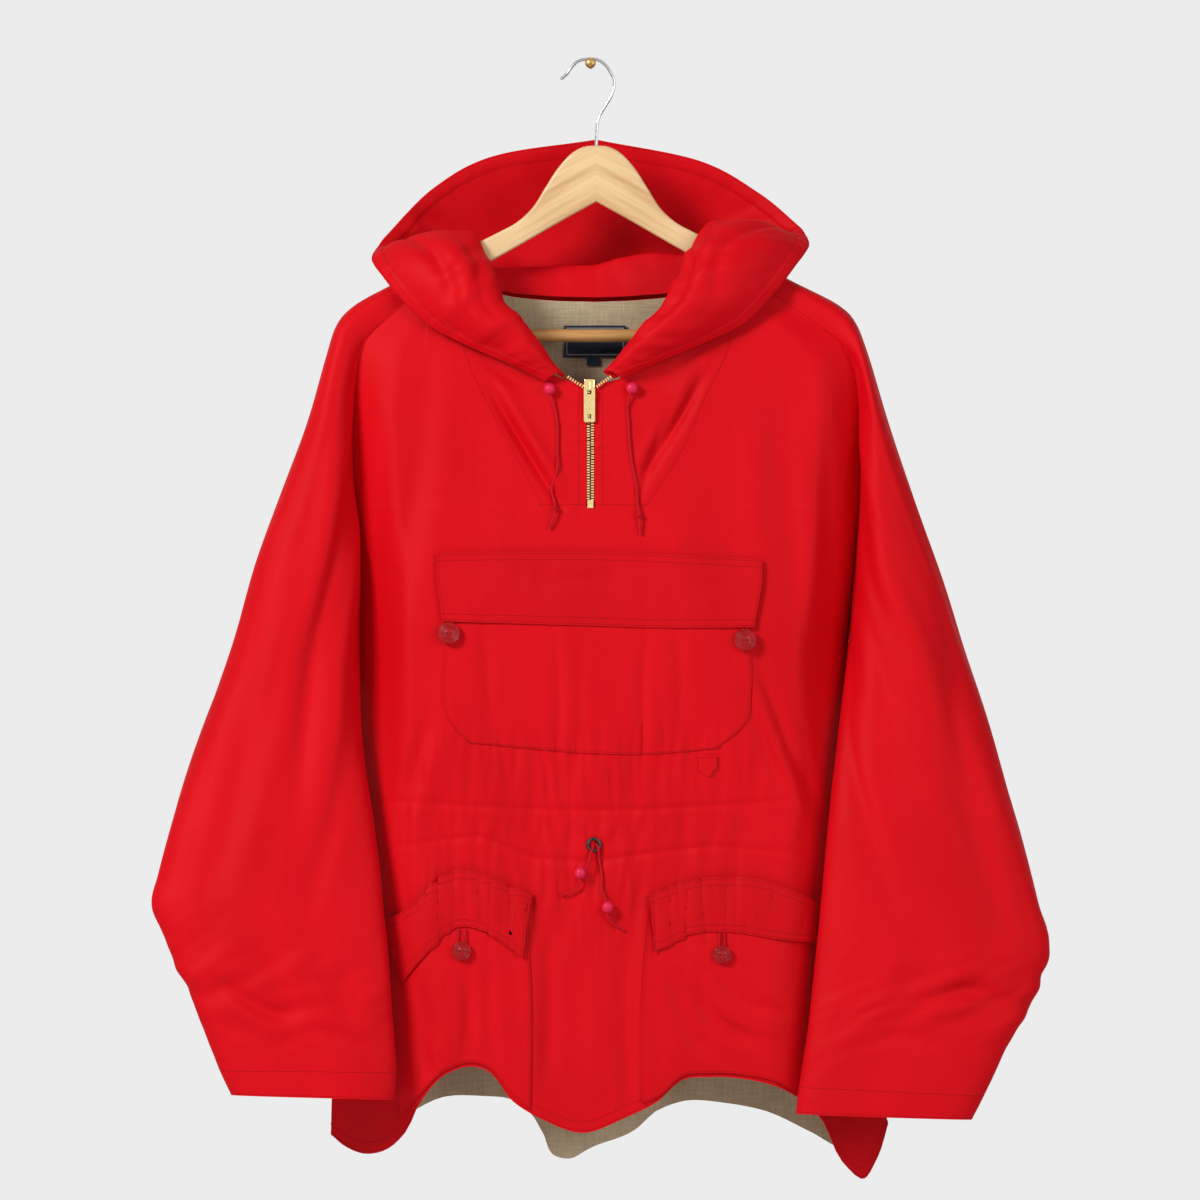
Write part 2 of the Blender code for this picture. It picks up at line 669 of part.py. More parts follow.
def build_inset(side, material, collection):
    """Half of the neck inset, from its seam to the zip."""
    name = "neck_inset_left" if side < 0 else "neck_inset_right"
    rows, columns = INSET_LEVEL, 7
    seam = inset_seam(side, rows)
    seam[:, 0] -= side * (SEAM + 0.15)
    zip_edge = side * (ZIP_WIDTH / 2 + SEAM)
    neck = neck_points(side)[:5][::-1]
    line = [(p[0], p[2]) for p in neck] + [(zip_edge, -293.0)]
    line[0] = tuple(seam[0])
    top = along(line, spread(columns))
    seam[-1, 1] += SEAM + 0.1
    bottom = np.linspace(seam[-1], (zip_edge, INSET_BOTTOM + SEAM), columns + 1)
    inner = np.linspace(top[-1], bottom[-1], rows + 1)
    flat = coons(top, bottom, seam, inner)
    cloth(name, [on_front(flat[..., 0], flat[..., 1])], material, collection)


def back_grid():
    """Grid of the back from the nape down to its hem."""
    columns = 16
    left_neck = neck_edge(-1, "raglan_back", "nape", 8)
    right_neck = neck_edge(1, "raglan_back", "nape", 8)[::-1]
    neck = np.concatenate([left_neck, right_neck[1:]])
    share = 0.4 * (0.5 - 0.5 * np.cos(np.pi * spread(columns))) + 0.6 * spread(columns)
    margin = 0.9
    top_x = neck[0, 0] + margin + (neck[-1, 0] - neck[0, 0] - 2 * margin) * share
    top = np.stack([top_x, np.interp(top_x, neck[:, 0], neck[:, 1])], axis=-1)
    hem = along(HEM_BACK, spread(60))
    bottom_x = hem[0, 0] + margin + (hem[-1, 0] - hem[0, 0] - 2 * margin) * share
    bottom = np.stack([bottom_x, np.interp(bottom_x, hem[:, 0], hem[:, 1])], axis=-1)
    left = side_line(-1, top[0], bottom[0], 0, 1.0)
    right = side_line(1, top[-1], bottom[-1], 0, 1.0)
    flat = coons(top, bottom, left, right)
    return on_back(flat[..., 0], flat[..., 1])


def moved_in(grid, distance):
    """The same grid moved along its own normals, and drawn in a little at every edge."""
    down = np.gradient(grid, axis=0)
    across = np.gradient(grid, axis=1)
    normal = np.cross(across, down)
    normal = normal / np.linalg.norm(normal, axis=-1)[..., None]
    inner = grid - normal * distance
    inner[:, 0] += 0.8 * (inner[:, 1] - inner[:, 0])
    inner[:, -1] += 0.8 * (inner[:, -2] - inner[:, -1])
    inner[0] += 0.06 * (inner[1] - inner[0])
    inner[-1] += 0.02 * (inner[-2] - inner[-1])
    return inner


def build_back(material, lining_material, collection):
    grid = back_grid()
    cloth("back_body", [grid], material, collection)
    cloth("back_lining", [moved_in(grid, LAYER + 0.8)], lining_material, collection)


def sleeve_grid(outline, side):
    """Sections of a raglan sleeve, each an arc from the front seam over the outer edge to the back seam."""
    half = np.array([0, 0.022, 0.055, 0.10, 0.16, 0.24, 0.32, 0.39, 0.445, 0.48, 0.5])
    shares = np.concatenate([half, 1 - half[:-1][::-1]])
    rows = zip(named(SLEEVE_OUTLINE_COLUMNS, outline), named(SLEEVE_DEPTH_COLUMNS, SLEEVE_DEPTH))
    return np.array([[sleeve_point(row, depth, index, side, share) for share in shares]
                     for index, (row, depth) in enumerate(rows)], dtype=float)


def sleeve_point(row, depth, index, side, share, roundness=2.5):
    """One point of a section: share 0 is the front seam, 0.5 the outer fold, 1 the back seam."""
    out_x, out_z, in_x, in_z = (row[name] for name in SLEEVE_OUTLINE_COLUMNS)
    front, back, outer, inner = (depth[name] for name in SLEEVE_DEPTH_COLUMNS)
    if index < UNDERARM_ROW:
        gap = armhole_gap(in_z)
        in_x = BODY.read(edge_name(side), in_z) + side * back_seam_shift(in_z) * share
        inner = BODY.read("edge_front" if share <= 0.5 else "edge_back", in_z)
        reach = math.hypot(out_x - in_x, out_z - in_z)
        in_x, in_z = in_x + (out_x - in_x) / reach * gap, in_z + (out_z - in_z) / reach * gap
    elif index == UNDERARM_ROW:
        in_x = BODY.read(edge_name(side), in_z) + side * 1.2
    angle = 2 * math.pi * share
    across = math.copysign(abs(math.cos(angle)) ** (2 / roundness), math.cos(angle))
    bulge = abs(math.sin(angle)) ** (2 / roundness)
    rest = outer + (inner - outer) * (1 + across) / 2
    face = front if share <= 0.5 else back
    return ((out_x + in_x) / 2 + (in_x - out_x) / 2 * across, rest + (face - rest) * bulge,
            (out_z + in_z) / 2 + (in_z - out_z) / 2 * across)


def build_sleeves(material, collection):
    cloth("sleeve_left", [sleeve_grid(SLEEVE_LEFT, -1)], material, collection)
    cloth("sleeve_right", [sleeve_grid(SLEEVE_RIGHT, 1)], material, collection)


def hood_sections(side):
    """Control points of one half of the hood, section by section from the zip to the nape."""
    sections = []
    for neck, row in zip(neck_points(side), named(HOOD_COLUMNS, HOOD_LEFT)):
        section = [np.array(neck)]
        for x, y, z in (row[name] for name in HOOD_COLUMNS[1:]):
            if side > 0 and row["name"] != "nape":
                lean = np.interp(z, (-290, -178, -110), (-13, 0, 10))
                x = -x + lean
                z = z + np.interp(z, (-240, -185, -165, -120), (2, 12, 12, -4))
            section.append(np.array((x, y, z), dtype=float))
        rise = section[1] - section[0]
        behind = row["collar"][1] > 5
        section[0] = section[0] + rise / np.linalg.norm(rise) * (NAPE_CLEAR if behind else NECK_CLEAR)
        sections.append(section)
    return np.array(sections)


def hood_grid(side, between=2, rows=8):
    """Rows from neck to rim; every section of the table is a column, with one between each two."""
    sections = np.array([along(section, spread(rows)) for section in hood_sections(side)])
    count = len(sections)
    places = np.linspace(0, count - 1, (count - 1) * between + 1)
    flat = sections.reshape(count, -1)
    index = np.arange(count, dtype=float)
    columns = [cubic_read(index, flat[:, k], np.gradient(flat[:, k]), places) for k in range(flat.shape[1])]
    return np.stack(columns, axis=-1).reshape(len(places), rows + 1, 3).transpose(1, 0, 2)


def build_hood(material, collection):
    """Two halves that meet at the centre back seam, each folded over into a roll and a fall."""
    for side, label in ((-1, "left"), (1, "right")):
        grid = hood_grid(side)
        toward = grid[:, -2] - grid[:, -1]
        grid[:, -1] += toward / np.linalg.norm(toward, axis=1)[:, None] * (SEAM / 2 + 0.06)
        cloth("hood_" + label, [grid], material, collection)


def coons_piece(edges, out, puff, rows, columns):
    """A panel lying on the front, raised toward its middle."""
    lines = {name: along(points, spread(columns if name in ("top", "bottom") else rows))
             for name, points in edges.items()}
    flat = coons(lines["top"], lines["bottom"], lines["left"], lines["right"])
    u = spread(columns)[None, :]
    v = spread(rows)[:, None]
    height = out + puff * np.sin(np.pi * u) ** 0.7 * np.sin(np.pi * np.clip(v, 0, 1)) ** 0.8
    return on_front(flat[..., 0], flat[..., 1], height)


def build_pockets(material, collection):
    """Patch pockets one layer out, their flaps over them, and the small tab."""
    cloth("chest_pocket", [coons_piece(CHEST_POCKET, LAYER, 2.0, 8, 12)], material, collection)
    cloth("chest_flap", [coons_piece(CHEST_FLAP, 2 * LAYER + 1.4, 1.2, 3, 12)], material, collection)
    cloth("low_pocket_left", [coons_piece(LOW_POCKET_LEFT, LAYER + 0.5, 4.4, 8, 7)], material, collection)
    cloth("low_pocket_right", [coons_piece(LOW_POCKET_RIGHT, LAYER + 1.0, 4.4, 8, 8)], material, collection)
    cloth("low_flap_left", [coons_piece(LOW_FLAP_LEFT, 2 * LAYER + 3.8, 1.4, 3, 9)], material, collection)
    cloth("low_flap_right", [coons_piece(LOW_FLAP_RIGHT, 2 * LAYER + 3.8, 1.4, 3, 9)], material, collection)
    cloth("loop_tab", [coons_piece(LOOP_TAB, LAYER, 0.0, 2, 2)], material, collection)


def build_label(material, collection):
    """The woven label and its size tab, on the lining below the nape."""
    for name, (left, right, top, bottom) in (("neck_label", NECK_LABEL), ("size_tab", SIZE_TAB)):
        x, z = np.meshgrid(np.linspace(left, right, 4), np.linspace(top, bottom, 3))
        cloth(name, [on_back(x, z, -2 * LAYER - 0.5)], material, collection, thick=1.0)


# ================================================================ closures and trim
def build_zip(brass, tape_material, collection):
    """Tapes behind the inset, the closed run of teeth, the two open ends, the stop and the slider."""
    for side, label in ((-1, "left"), (1, "right")):
        x, z = np.meshgrid(np.linspace(0.9, 13.0, 3) * side, np.linspace(-296, -401, 8))
        cloth("zip_tape_" + label, [on_front(x, z, -1.5)], tape_material, collection, thick=1.0)
        ends = [(side * 6.45 - 0.45, -295.0), (side * 12.5 - 1, -291.0), (side * 19.0 - 1, -286.6)]
        route = [(x, float(front_y(x, -291)) - 4.2, z) for x, z in ends]
        tube("zip_end_" + label, route, 3.0, brass, collection)
    x, z = np.meshgrid(np.linspace(-ZIP_WIDTH / 2, ZIP_WIDTH / 2, 3), np.linspace(SLIDER_LOW - 1.0, -396.5, 10))
    cloth("zip_teeth", [on_front(x, z, 0.6)], brass, collection, thick=2.0)
    x, z = np.meshgrid(np.linspace(-2.6, 2.6, 3), np.linspace(-397.4, -404.5, 3))
    cloth("zip_stop", [on_front(x, z, 2.2)], brass, collection, thick=2.0)


def slider_face():
    """Depth of the slider's front face."""
    return float(front_y(0.0, -294.0)) - 1.5 - SLIDER_THICK


def box(name, low, high, bevel, material, collection):
    work = bmesh.new()
    bmesh.ops.create_cube(work, size=1.0)
    size = [high[i] - low[i] for i in range(3)]
    for vert in work.verts:
        vert.co = Vector([(low[i] + high[i]) / 2 + vert.co[i] * size[i] for i in range(3)]) * MM
    mesh = bpy.data.meshes.new(name)
    work.to_mesh(mesh)
    work.free()
    item = add_object(name, mesh, material, collection)
    if bevel:
        soft = item.modifiers.new("edges", "BEVEL")
        soft.width = bevel * MM
        soft.segments = 2
    return item


def build_slider(brass, collection, cutters):
    """Slider body with shoulders, and the bail that holds the pull tab, as one piece."""
    face = slider_face()
    half = SLIDER_WIDTH / 2
    body = box("zip_slider", (SLIDER_X - half, face, SLIDER_LOW), (SLIDER_X + half, face + SLIDER_THICK, SLIDER_TOP),
               0.8, brass, collection)
    out = TAB_AXIS_OUT * 2 + 0.75
    route = [(SLIDER_X, face + 1.2, SLIDER_TOP - 2.0), (SLIDER_X, face - out + 1.0, SLIDER_TOP - 2.4),
             (SLIDER_X, face - out, SLIDER_TOP - 3.6), (SLIDER_X, face - out, SLIDER_LOW + 1.8),
             (SLIDER_X, face - out + 1.0, SLIDER_LOW + 0.9), (SLIDER_X, face + 1.2, SLIDER_LOW + 0.9)]
    bail = settle(tube("bail", route, 1.4, brass, collection))
    collection.objects.unlink(bail)
    cutters.objects.link(bail)
    bail.hide_render = True
    bail.display_type = "WIRE"
    join = body.modifiers.new("bail", "BOOLEAN")
    join.operation = "UNION"
    join.object = bail


def rectangle(x_low, x_high, y_low, y_high):
    return [(x_low, y_low), (x_high, y_low), (x_high, y_high), (x_low, y_high)]


def build_pull_tab(brass, collection):
    """The pull tab; its origin is the hinge axis, inside the bail."""
    half = TAB_WIDTH / 2
    top = TAB_BAR / 2
    low = top - TAB_LENGTH
    nick = 1.2
    edge = [(-half + nick, top), (-half, top - nick), (-half, low + nick), (-half + nick, low),
            (half - nick, low), (half, low + nick), (half, top - nick), (half - nick, top)]
    upper = rectangle(-1.9, 1.9, -top - 5.4, -top)
    lower = rectangle(-1.6, 1.6, low + 3.0, low + 7.0)
    plate = settle(flat_plate("pull_tab", [edge, upper, lower], TAB_THICK, brass, collection))
    turn = plate.data
    for vert in turn.vertices:
        vert.co = Vector((vert.co.x, -vert.co.z, vert.co.y))
    plate.location = Vector((SLIDER_X, slider_face() - TAB_AXIS_OUT, TAB_AXIS_Z)) * MM


def surface_turn(x, z):
    """Rotation that turns a piece's +Z to face out of the front at a point."""
    span = 6.0
    here = on_front(x, z)
    across = on_front(x + span, z) - on_front(x - span, z)
    down = on_front(x, z + span) - on_front(x, z - span)
    normal = np.cross(across, down)
    normal = normal / np.linalg.norm(normal)
    if normal[1] > 0:
        normal = -normal
    return here, normal, Vector(normal).to_track_quat("Z", "X").to_euler()


def build_buttons(resin, cord_material, collection, cutters):
    """Ridged two-hole buttons, each over a loop of cord from its flap."""
    for name, x, z, diameter, flap_edge in BUTTONS:
        low = name.startswith("low")
        seat = 2 * LAYER + (5.9 if low else 3.0)
        here, normal, turn = surface_turn(x, z)
        r = diameter / 2
        profile = ((0.0, 2.9), (r * 0.42, 2.9), (r * 0.55, 2.3), (r * 0.66, 3.0), (r * 0.74, 2.5), (r * 0.84, 3.2),
                   (r * 0.95, 2.6), (r, 1.6), (r * 0.9, 0.4), (r * 0.5, 0.0), (0.0, 0.0))
        profile = tuple((radius, height * BUTTON_THICK / 3.2) for radius, height in profile)
        button = turned(name, profile, resin, collection, steps=16)
        button.location = Vector(here + normal * seat) * MM
        button.rotation_euler = turn
        bpy.context.view_layer.update()
        for eye in (-1, 1):
            spot = Vector(here + normal * (seat + 2.0)) + Vector((eye * 1.9, 0.0, 0.0))
            tool = cylinder_tool(name + "_eye", spot, normal, 1.9, 12.0)
            drill(button, tool, cutters)
        build_loop(name.replace("button", "loop"), x, z - r * 0.25, seat - 1.1, flap_edge - 0.5, cord_material, collection)


def build_loop(name, x, z, off, top, material, collection):
    """A hairpin of thin cord from the flap's edge down behind the button."""
    width = 2.4
    arc = [(x + width * math.cos(a), z + width * math.sin(a)) for a in np.linspace(math.pi, 2 * math.pi, 7)]
    line = [(x - width, top)] + arc + [(x + width, top)]
    points = [tuple(on_front(px, pz, off)) for px, pz in line]
    tube(name, points, 1.5, material, collection)


def build_eyelet(steel, collection):
    x, z = WAIST_EYELET
    here, normal, turn = surface_turn(x, z)
    middle = (EYELET_OUTER + EYELET_HOLE) / 2
    profile = ((middle, 1.5), (EYELET_OUTER - 0.4, 1.2), (EYELET_OUTER, 0.3), (EYELET_OUTER - 0.2, 0.0),
               (EYELET_HOLE, 0.0), (EYELET_HOLE, 0.9), (EYELET_HOLE + 0.5, 1.4), (middle, 1.5))
    ring = turned("waist_eyelet", profile, steel, collection, steps=24)
    ring.location = Vector(here + normal * (CLOTH / 2 + 0.7)) * MM
    ring.rotation_euler = turn


def route_points(route, off=0.0):
    """A cord's middle line, spaced evenly along a smooth curve through its route."""
    points = np.array([on_front(x, z, out) for x, z, out in route])
    length = np.linalg.norm(np.diff(points, axis=0), axis=1).sum()
    return along(points, spread(int(length / 5.5)))


def build_cords(cord_material, ball_material, collection, cutters):
    """Hood and waist cords; balls and knots are bored so that the cord runs through clear of them."""
    beads = (
        ("hood_cord_left", HOOD_CORD_LEFT, (("hood_stopper_left", 1, BALL), ("hood_knot_left", 9, KNOT))),
        ("hood_cord_right", HOOD_CORD_RIGHT, (("hood_stopper_right", 1, BALL), ("hood_knot_right", 8.5, KNOT))),
        ("waist_cord_left", WAIST_CORD_LEFT, (("waist_ball_left", 4, BALL),)),
        ("waist_cord_right", WAIST_CORD_RIGHT, (("waist_ball_right", 6, BALL),)),
    )
    for name, route, threaded in beads:
        line = route_points(route)
        tube(name, [tuple(p) for p in line], CORD, cord_material, collection)
        fixed = np.array([on_front(x, z, out) for x, z, out in route])
        for bead, index, diameter in threaded:
            low, high = int(math.floor(index)), int(math.ceil(index))
            aim = (fixed[low] + fixed[high]) / 2
            nearest = int(np.argmin(np.linalg.norm(line - aim, axis=1)))
            nearest = min(max(nearest, 1), len(line) - 2)
            run = line[nearest + 1] - line[nearest - 1]
            centre = aim if low == high else line[nearest]
            ball = sphere(bead, centre, diameter, ball_material if diameter == BALL else cord_material, collection)
            drill(ball, cylinder_tool(bead + "_bore", centre, run, CORD + 1.3, diameter * 2), cutters)


def sphere(name, centre, diameter, material, collection):
    work = bmesh.new()
    bmesh.ops.create_uvsphere(work, u_segments=14, v_segments=9, radius=diameter / 2 * MM)
    mesh = bpy.data.meshes.new(name)
    work.to_mesh(mesh)
    work.free()
    mesh.shade_smooth()
    item = add_object(name, mesh, material, collection)
    item.location = Vector(centre) * MM
    return item


# ================================================================ hanger
def build_hanger(wood, bar_wood, chrome, brass, collection, cutters):
    """Flat wooden hanger, its trouser bar, the wire hook and the pin that carries it."""
    right = [(HANGER_MIDDLE + x, z) for x, z in HANGER_OUTER + HANGER_INNER]
    left = [(HANGER_MIDDLE - x, z) for x, z in (HANGER_OUTER[1:] + HANGER_INNER[:-1])][::-1]
    plate = settle(flat_plate("hanger_wood", [right + left], HANGER_THICK, wood, collection))
    for vert in plate.data.vertices:
        vert.co = Vector((vert.co.x, -vert.co.z, vert.co.y))
    drill(plate, cylinder_tool("hook_bore", (HANGER_MIDDLE, 0, -86), (0, 0, 1), HOOK_WIRE + 0.7, 24), cutters)
    tenon = 7.0
    shoulder = 203.0
    for side in (-1, 1):
        spot = (HANGER_MIDDLE + side * (shoulder + 4), 0, BAR_HEIGHT)
        drill(plate, cylinder_tool("bar_bore", spot, (1, 0, 0), tenon + 0.8, 20), cutters)
    end = shoulder + 11.0
    r = BAR_DIAMETER / 2
    cut = shoulder - 6.0
    profile = ((0.0, end), (tenon / 2, end), (tenon / 2, cut + 1.2), (r - 0.8, cut), (r, cut - 1.5), (r, -cut + 1.5),
               (r - 0.8, -cut), (tenon / 2, -cut - 1.2), (tenon / 2, -end), (0.0, -end))
    bar = turned("hanger_bar", profile, bar_wood, collection, steps=20)
    bar.location = Vector((HANGER_MIDDLE, 0, BAR_HEIGHT)) * MM
    bar.rotation_euler = (0.0, math.pi / 2, 0.0)
    points = along([(x, 0.0, z) for x, z in HOOK_POINTS], spread(34))
    tube("hanger_hook", [tuple(p) for p in points], HOOK_WIRE, chrome, collection)
    s = PIN_SHANK / 2
    h = PIN_HEAD / 2
    profile = ((0.0, 9.5), (h * 0.55, 8.9), (h * 0.9, 7.6), (h, 6.0), (h * 0.85, 4.6), (s, 4.0), (s, -PIN_BACK),
               (0.0, -PIN_BACK))
    pin = turned("wall_pin", profile, brass, collection, steps=20)
    pin.location = Vector((0, 0, -s - SEAM)) * MM
    pin.rotation_euler = (math.pi / 2, 0.0, 0.0)


# ================================================================ assembly
def main():
    clear_scene()
    scene = bpy.context.scene
    parts = bpy.data.collections.new("anorak_on_hanger")
    cutters = bpy.data.collections.new("cutters")
    scene.collection.children.link(parts)
    scene.collection.children.link(cutters)

    red = make_material("red_cloth", (0.62, 0.012, 0.02), 0.6)
    beige = make_material("beige_lining", (0.50, 0.40, 0.25), 0.8)
    navy = make_material("navy_weave", (0.02, 0.03, 0.06), 0.7)
    elastic = make_material("red_cord", (0.60, 0.01, 0.02), 0.6)
    pink = make_material("pink_resin", (0.75, 0.03, 0.09), 0.35)
    resin = make_material("dark_red_resin", (0.25, 0.005, 0.01), 0.2)
    brass = make_material("brass", (0.80, 0.62, 0.25), 0.25, 1.0)
    gunmetal = make_material("gunmetal", (0.12, 0.11, 0.11), 0.35, 1.0)
    chrome = make_material("chrome", (0.55, 0.55, 0.56), 0.15, 1.0)
    birch = make_material("birch", (0.72, 0.50, 0.27), 0.5)
    dowel = make_material("dowel", (0.62, 0.38, 0.15), 0.5)

    build_front(red, parts)
    build_back(red, beige, parts)
    build_sleeves(red, parts)
    for side in (-1, 1):
        build_inset(side, red, parts)
    build_hood(red, parts)
    build_pockets(red, parts)
    build_label(navy, parts)
    build_zip(brass, red, parts)
    build_slider(brass, parts, cutters)
    build_pull_tab(brass, parts)
    build_buttons(resin, elastic, parts, cutters)
    build_eyelet(gunmetal, parts)
    build_cords(elastic, pink, parts, cutters)
    build_hanger(birch, dowel, chrome, brass, parts, cutters)


main()
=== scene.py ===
"""Visual model of a red anorak pullover on its wooden hanger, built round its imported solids.

Sizes in the tables are millimetres in the part's own frame: the origin is the inside of the hook's
crown, X runs to the right as seen from the front, the front faces -Y and Z is up.
"""

from __future__ import annotations

import logging
import math
from dataclasses import dataclass, field
from enum import Enum
from typing import Sequence

import bmesh
import bpy
import numpy as np
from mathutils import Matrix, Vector

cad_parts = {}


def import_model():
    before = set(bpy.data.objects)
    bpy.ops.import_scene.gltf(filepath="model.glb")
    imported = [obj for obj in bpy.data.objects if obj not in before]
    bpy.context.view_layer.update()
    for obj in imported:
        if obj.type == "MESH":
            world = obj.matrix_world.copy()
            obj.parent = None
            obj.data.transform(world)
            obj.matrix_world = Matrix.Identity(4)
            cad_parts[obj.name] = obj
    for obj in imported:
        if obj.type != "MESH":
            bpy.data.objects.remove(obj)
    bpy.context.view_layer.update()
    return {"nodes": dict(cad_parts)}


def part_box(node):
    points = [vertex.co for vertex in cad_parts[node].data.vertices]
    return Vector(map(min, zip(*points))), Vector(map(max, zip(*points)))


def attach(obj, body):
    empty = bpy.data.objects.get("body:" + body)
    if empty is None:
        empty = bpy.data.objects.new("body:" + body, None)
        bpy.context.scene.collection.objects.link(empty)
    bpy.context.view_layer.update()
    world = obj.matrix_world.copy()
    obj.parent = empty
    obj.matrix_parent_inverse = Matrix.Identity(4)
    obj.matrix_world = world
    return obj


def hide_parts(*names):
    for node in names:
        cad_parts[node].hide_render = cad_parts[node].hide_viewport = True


LOG = logging.getLogger("anorak")
MM = 0.001
BODY = "garment"
UV_NAME = "weave"
DRAPE = 1.8                  # how much the loose cloth deepens every crease
Array = np.ndarray


# ================================================================ curves, grids and noise
def steady_slopes(x: Array, y: Array) -> Array:
    """Slopes that keep a cubic from overshooting its points.

    Args:
        x: Rising keys.
        y: Values at the keys.

    Returns:
        One slope for each key.
    """
    step = np.diff(x)
    rate = np.diff(y) / step
    slope = np.zeros(len(x))
    for i in range(1, len(x) - 1):
        if rate[i - 1] * rate[i] > 0:
            first = 2 * step[i] + step[i - 1]
            second = step[i] + 2 * step[i - 1]
            slope[i] = (first + second) / (first / rate[i - 1] + second / rate[i])
    slope[0] = rate[0]
    slope[-1] = rate[-1]
    return slope


def cubic_read(x: Array, y: Array, slope: Array, at: Array) -> Array:
    """Values of a cubic through keyed points with given slopes.

    Args:
        x: Rising keys.
        y: Values at the keys.
        slope: Slopes at the keys.
        at: Where to read, held within the keys.

    Returns:
        Values in the shape of ``at``.
    """
    at = np.clip(at, x[0], x[-1])
    i = np.clip(np.searchsorted(x, at) - 1, 0, len(x) - 2)
    step = x[i + 1] - x[i]
    t = (at - x[i]) / step
    ease = t * t * (3 - 2 * t)
    return y[i] * (1 - ease) + y[i + 1] * ease + step * (slope[i] * t * (1 - t) ** 2 + slope[i + 1] * t * t
                                                         * (t - 1))


def spread(count: int) -> Array:
    """Even shares from 0 to 1 in the given number of steps."""
    return np.linspace(0, 1, count + 1)


def chord_shares(line: Array) -> Array:
    """Share of a line's length at each of its points."""
    reach = np.concatenate(([0.0], np.cumsum(np.linalg.norm(np.diff(line, axis=0), axis=1))))
    return reach / reach[-1]


def along(points: Sequence[Sequence[float]], shares: Array) -> Array:
    """Points of a smooth curve through given ones.

    Args:
        points: The curve's own points, in any number of dimensions.
        shares: Where to read, 0 to 1 of its length.

    Returns:
        One point for each share.
    """
    data = np.array(points, dtype=float)
    reach = chord_shares(data)
    return np.stack([cubic_read(reach, data[:, i], np.gradient(data[:, i], reach), shares)
                     for i in range(data.shape[1])], axis=-1)


def coons(top: Array, bottom: Array, left: Array, right: Array) -> Array:
    """Grid of points between four edges that meet at their corners.

    Args:
        top: Upper edge, left to right.
        bottom: Lower edge, left to right.
        left: Left edge, top to bottom.
        right: Right edge, top to bottom.

    Returns:
        Array of rows, columns and coordinates.
    """
    v = np.linspace(0, 1, len(left))[:, None]
    s = chord_shares(top)[None] * (1 - v) + chord_shares(bottom)[None] * v
    t = chord_shares(left)[:, None] * (1 - s) + chord_shares(right)[:, None] * s
    s, t = s[..., None], t[..., None]
    ruled = (1 - t) * top[None] + t * bottom[None] + (1 - s) * left[:, None] + s * right[:, None]
    return ruled - ((1 - s) * (1 - t) * top[0] + s * (1 - t) * top[-1] + (1 - s) * t * bottom[0] + s * t
                    * bottom[-1])


def grid_normals(grid: Array, closed: bool = False) -> Array:
    """Unit normals of a grid of points, on the side where rows run down and columns to the right.

    Args:
        grid: Rows, columns and coordinates.
        closed: Whether the last column is the first one again.

    Returns:
        One normal for each point.
    """
    if closed:
        grid = np.concatenate([grid[:, -2:-1], grid, grid[:, 1:2]], axis=1)
    normal = np.cross(np.gradient(grid, axis=0), np.gradient(grid, axis=1))
    normal = normal / np.maximum(np.linalg.norm(normal, axis=-1), 1e-9)[..., None]
    return normal[:, 1:-1] if closed else normal


def lattice_angle(ix: Array, iy: Array, seed: int) -> Array:
    """A fixed angle for every lattice point, from whole-number hashing.

    Args:
        ix: Whole numbers across.
        iy: Whole numbers along.
        seed: Which set of angles.

    Returns:
        An angle in radians for each point.
    """
    mask = np.int64(0xFFFFFFFF)
    mixed = (ix.astype(np.int64) * 73856093 ^ iy.astype(np.int64) * 19349663
             ^ np.int64(seed) * 83492791) & mask
    for _ in range(2):
        mixed = ((mixed ^ (mixed >> 15)) * 0x2C1B3C6D) & mask
    return mixed.astype(float) / float(mask) * 2 * math.pi


def noise(x: Array, y: Array, seed: int) -> Array:
    """Smooth noise, about -0.7 to 0.7, with features one unit across.

    Args:
        x: First coordinate.
        y: Second coordinate.
        seed: Number of the pattern.

    Returns:
        Noise in the shape of ``x``.
    """
    ix, iy = np.floor(x), np.floor(y)
    fx, fy = x - ix, y - iy
    ux = fx ** 3 * (fx * (fx * 6 - 15) + 10)
    uy = fy ** 3 * (fy * (fy * 6 - 15) + 10)
    total = np.zeros(np.broadcast(x, y).shape)
    for dx in (0, 1):
        for dy in (0, 1):
            angle = lattice_angle(ix + dx, iy + dy, seed)
            dot = np.cos(angle) * (fx - dx) + np.sin(angle) * (fy - dy)
            total = total + dot * (ux if dx else 1 - ux) * (uy if dy else 1 - uy)
    return total


# ================================================================ folds, creases and wrinkles
class Lean(Enum):
    """Which flank of a crease stands up beside its trough."""

    NONE = 0
    LEFT = -1
    RIGHT = 1


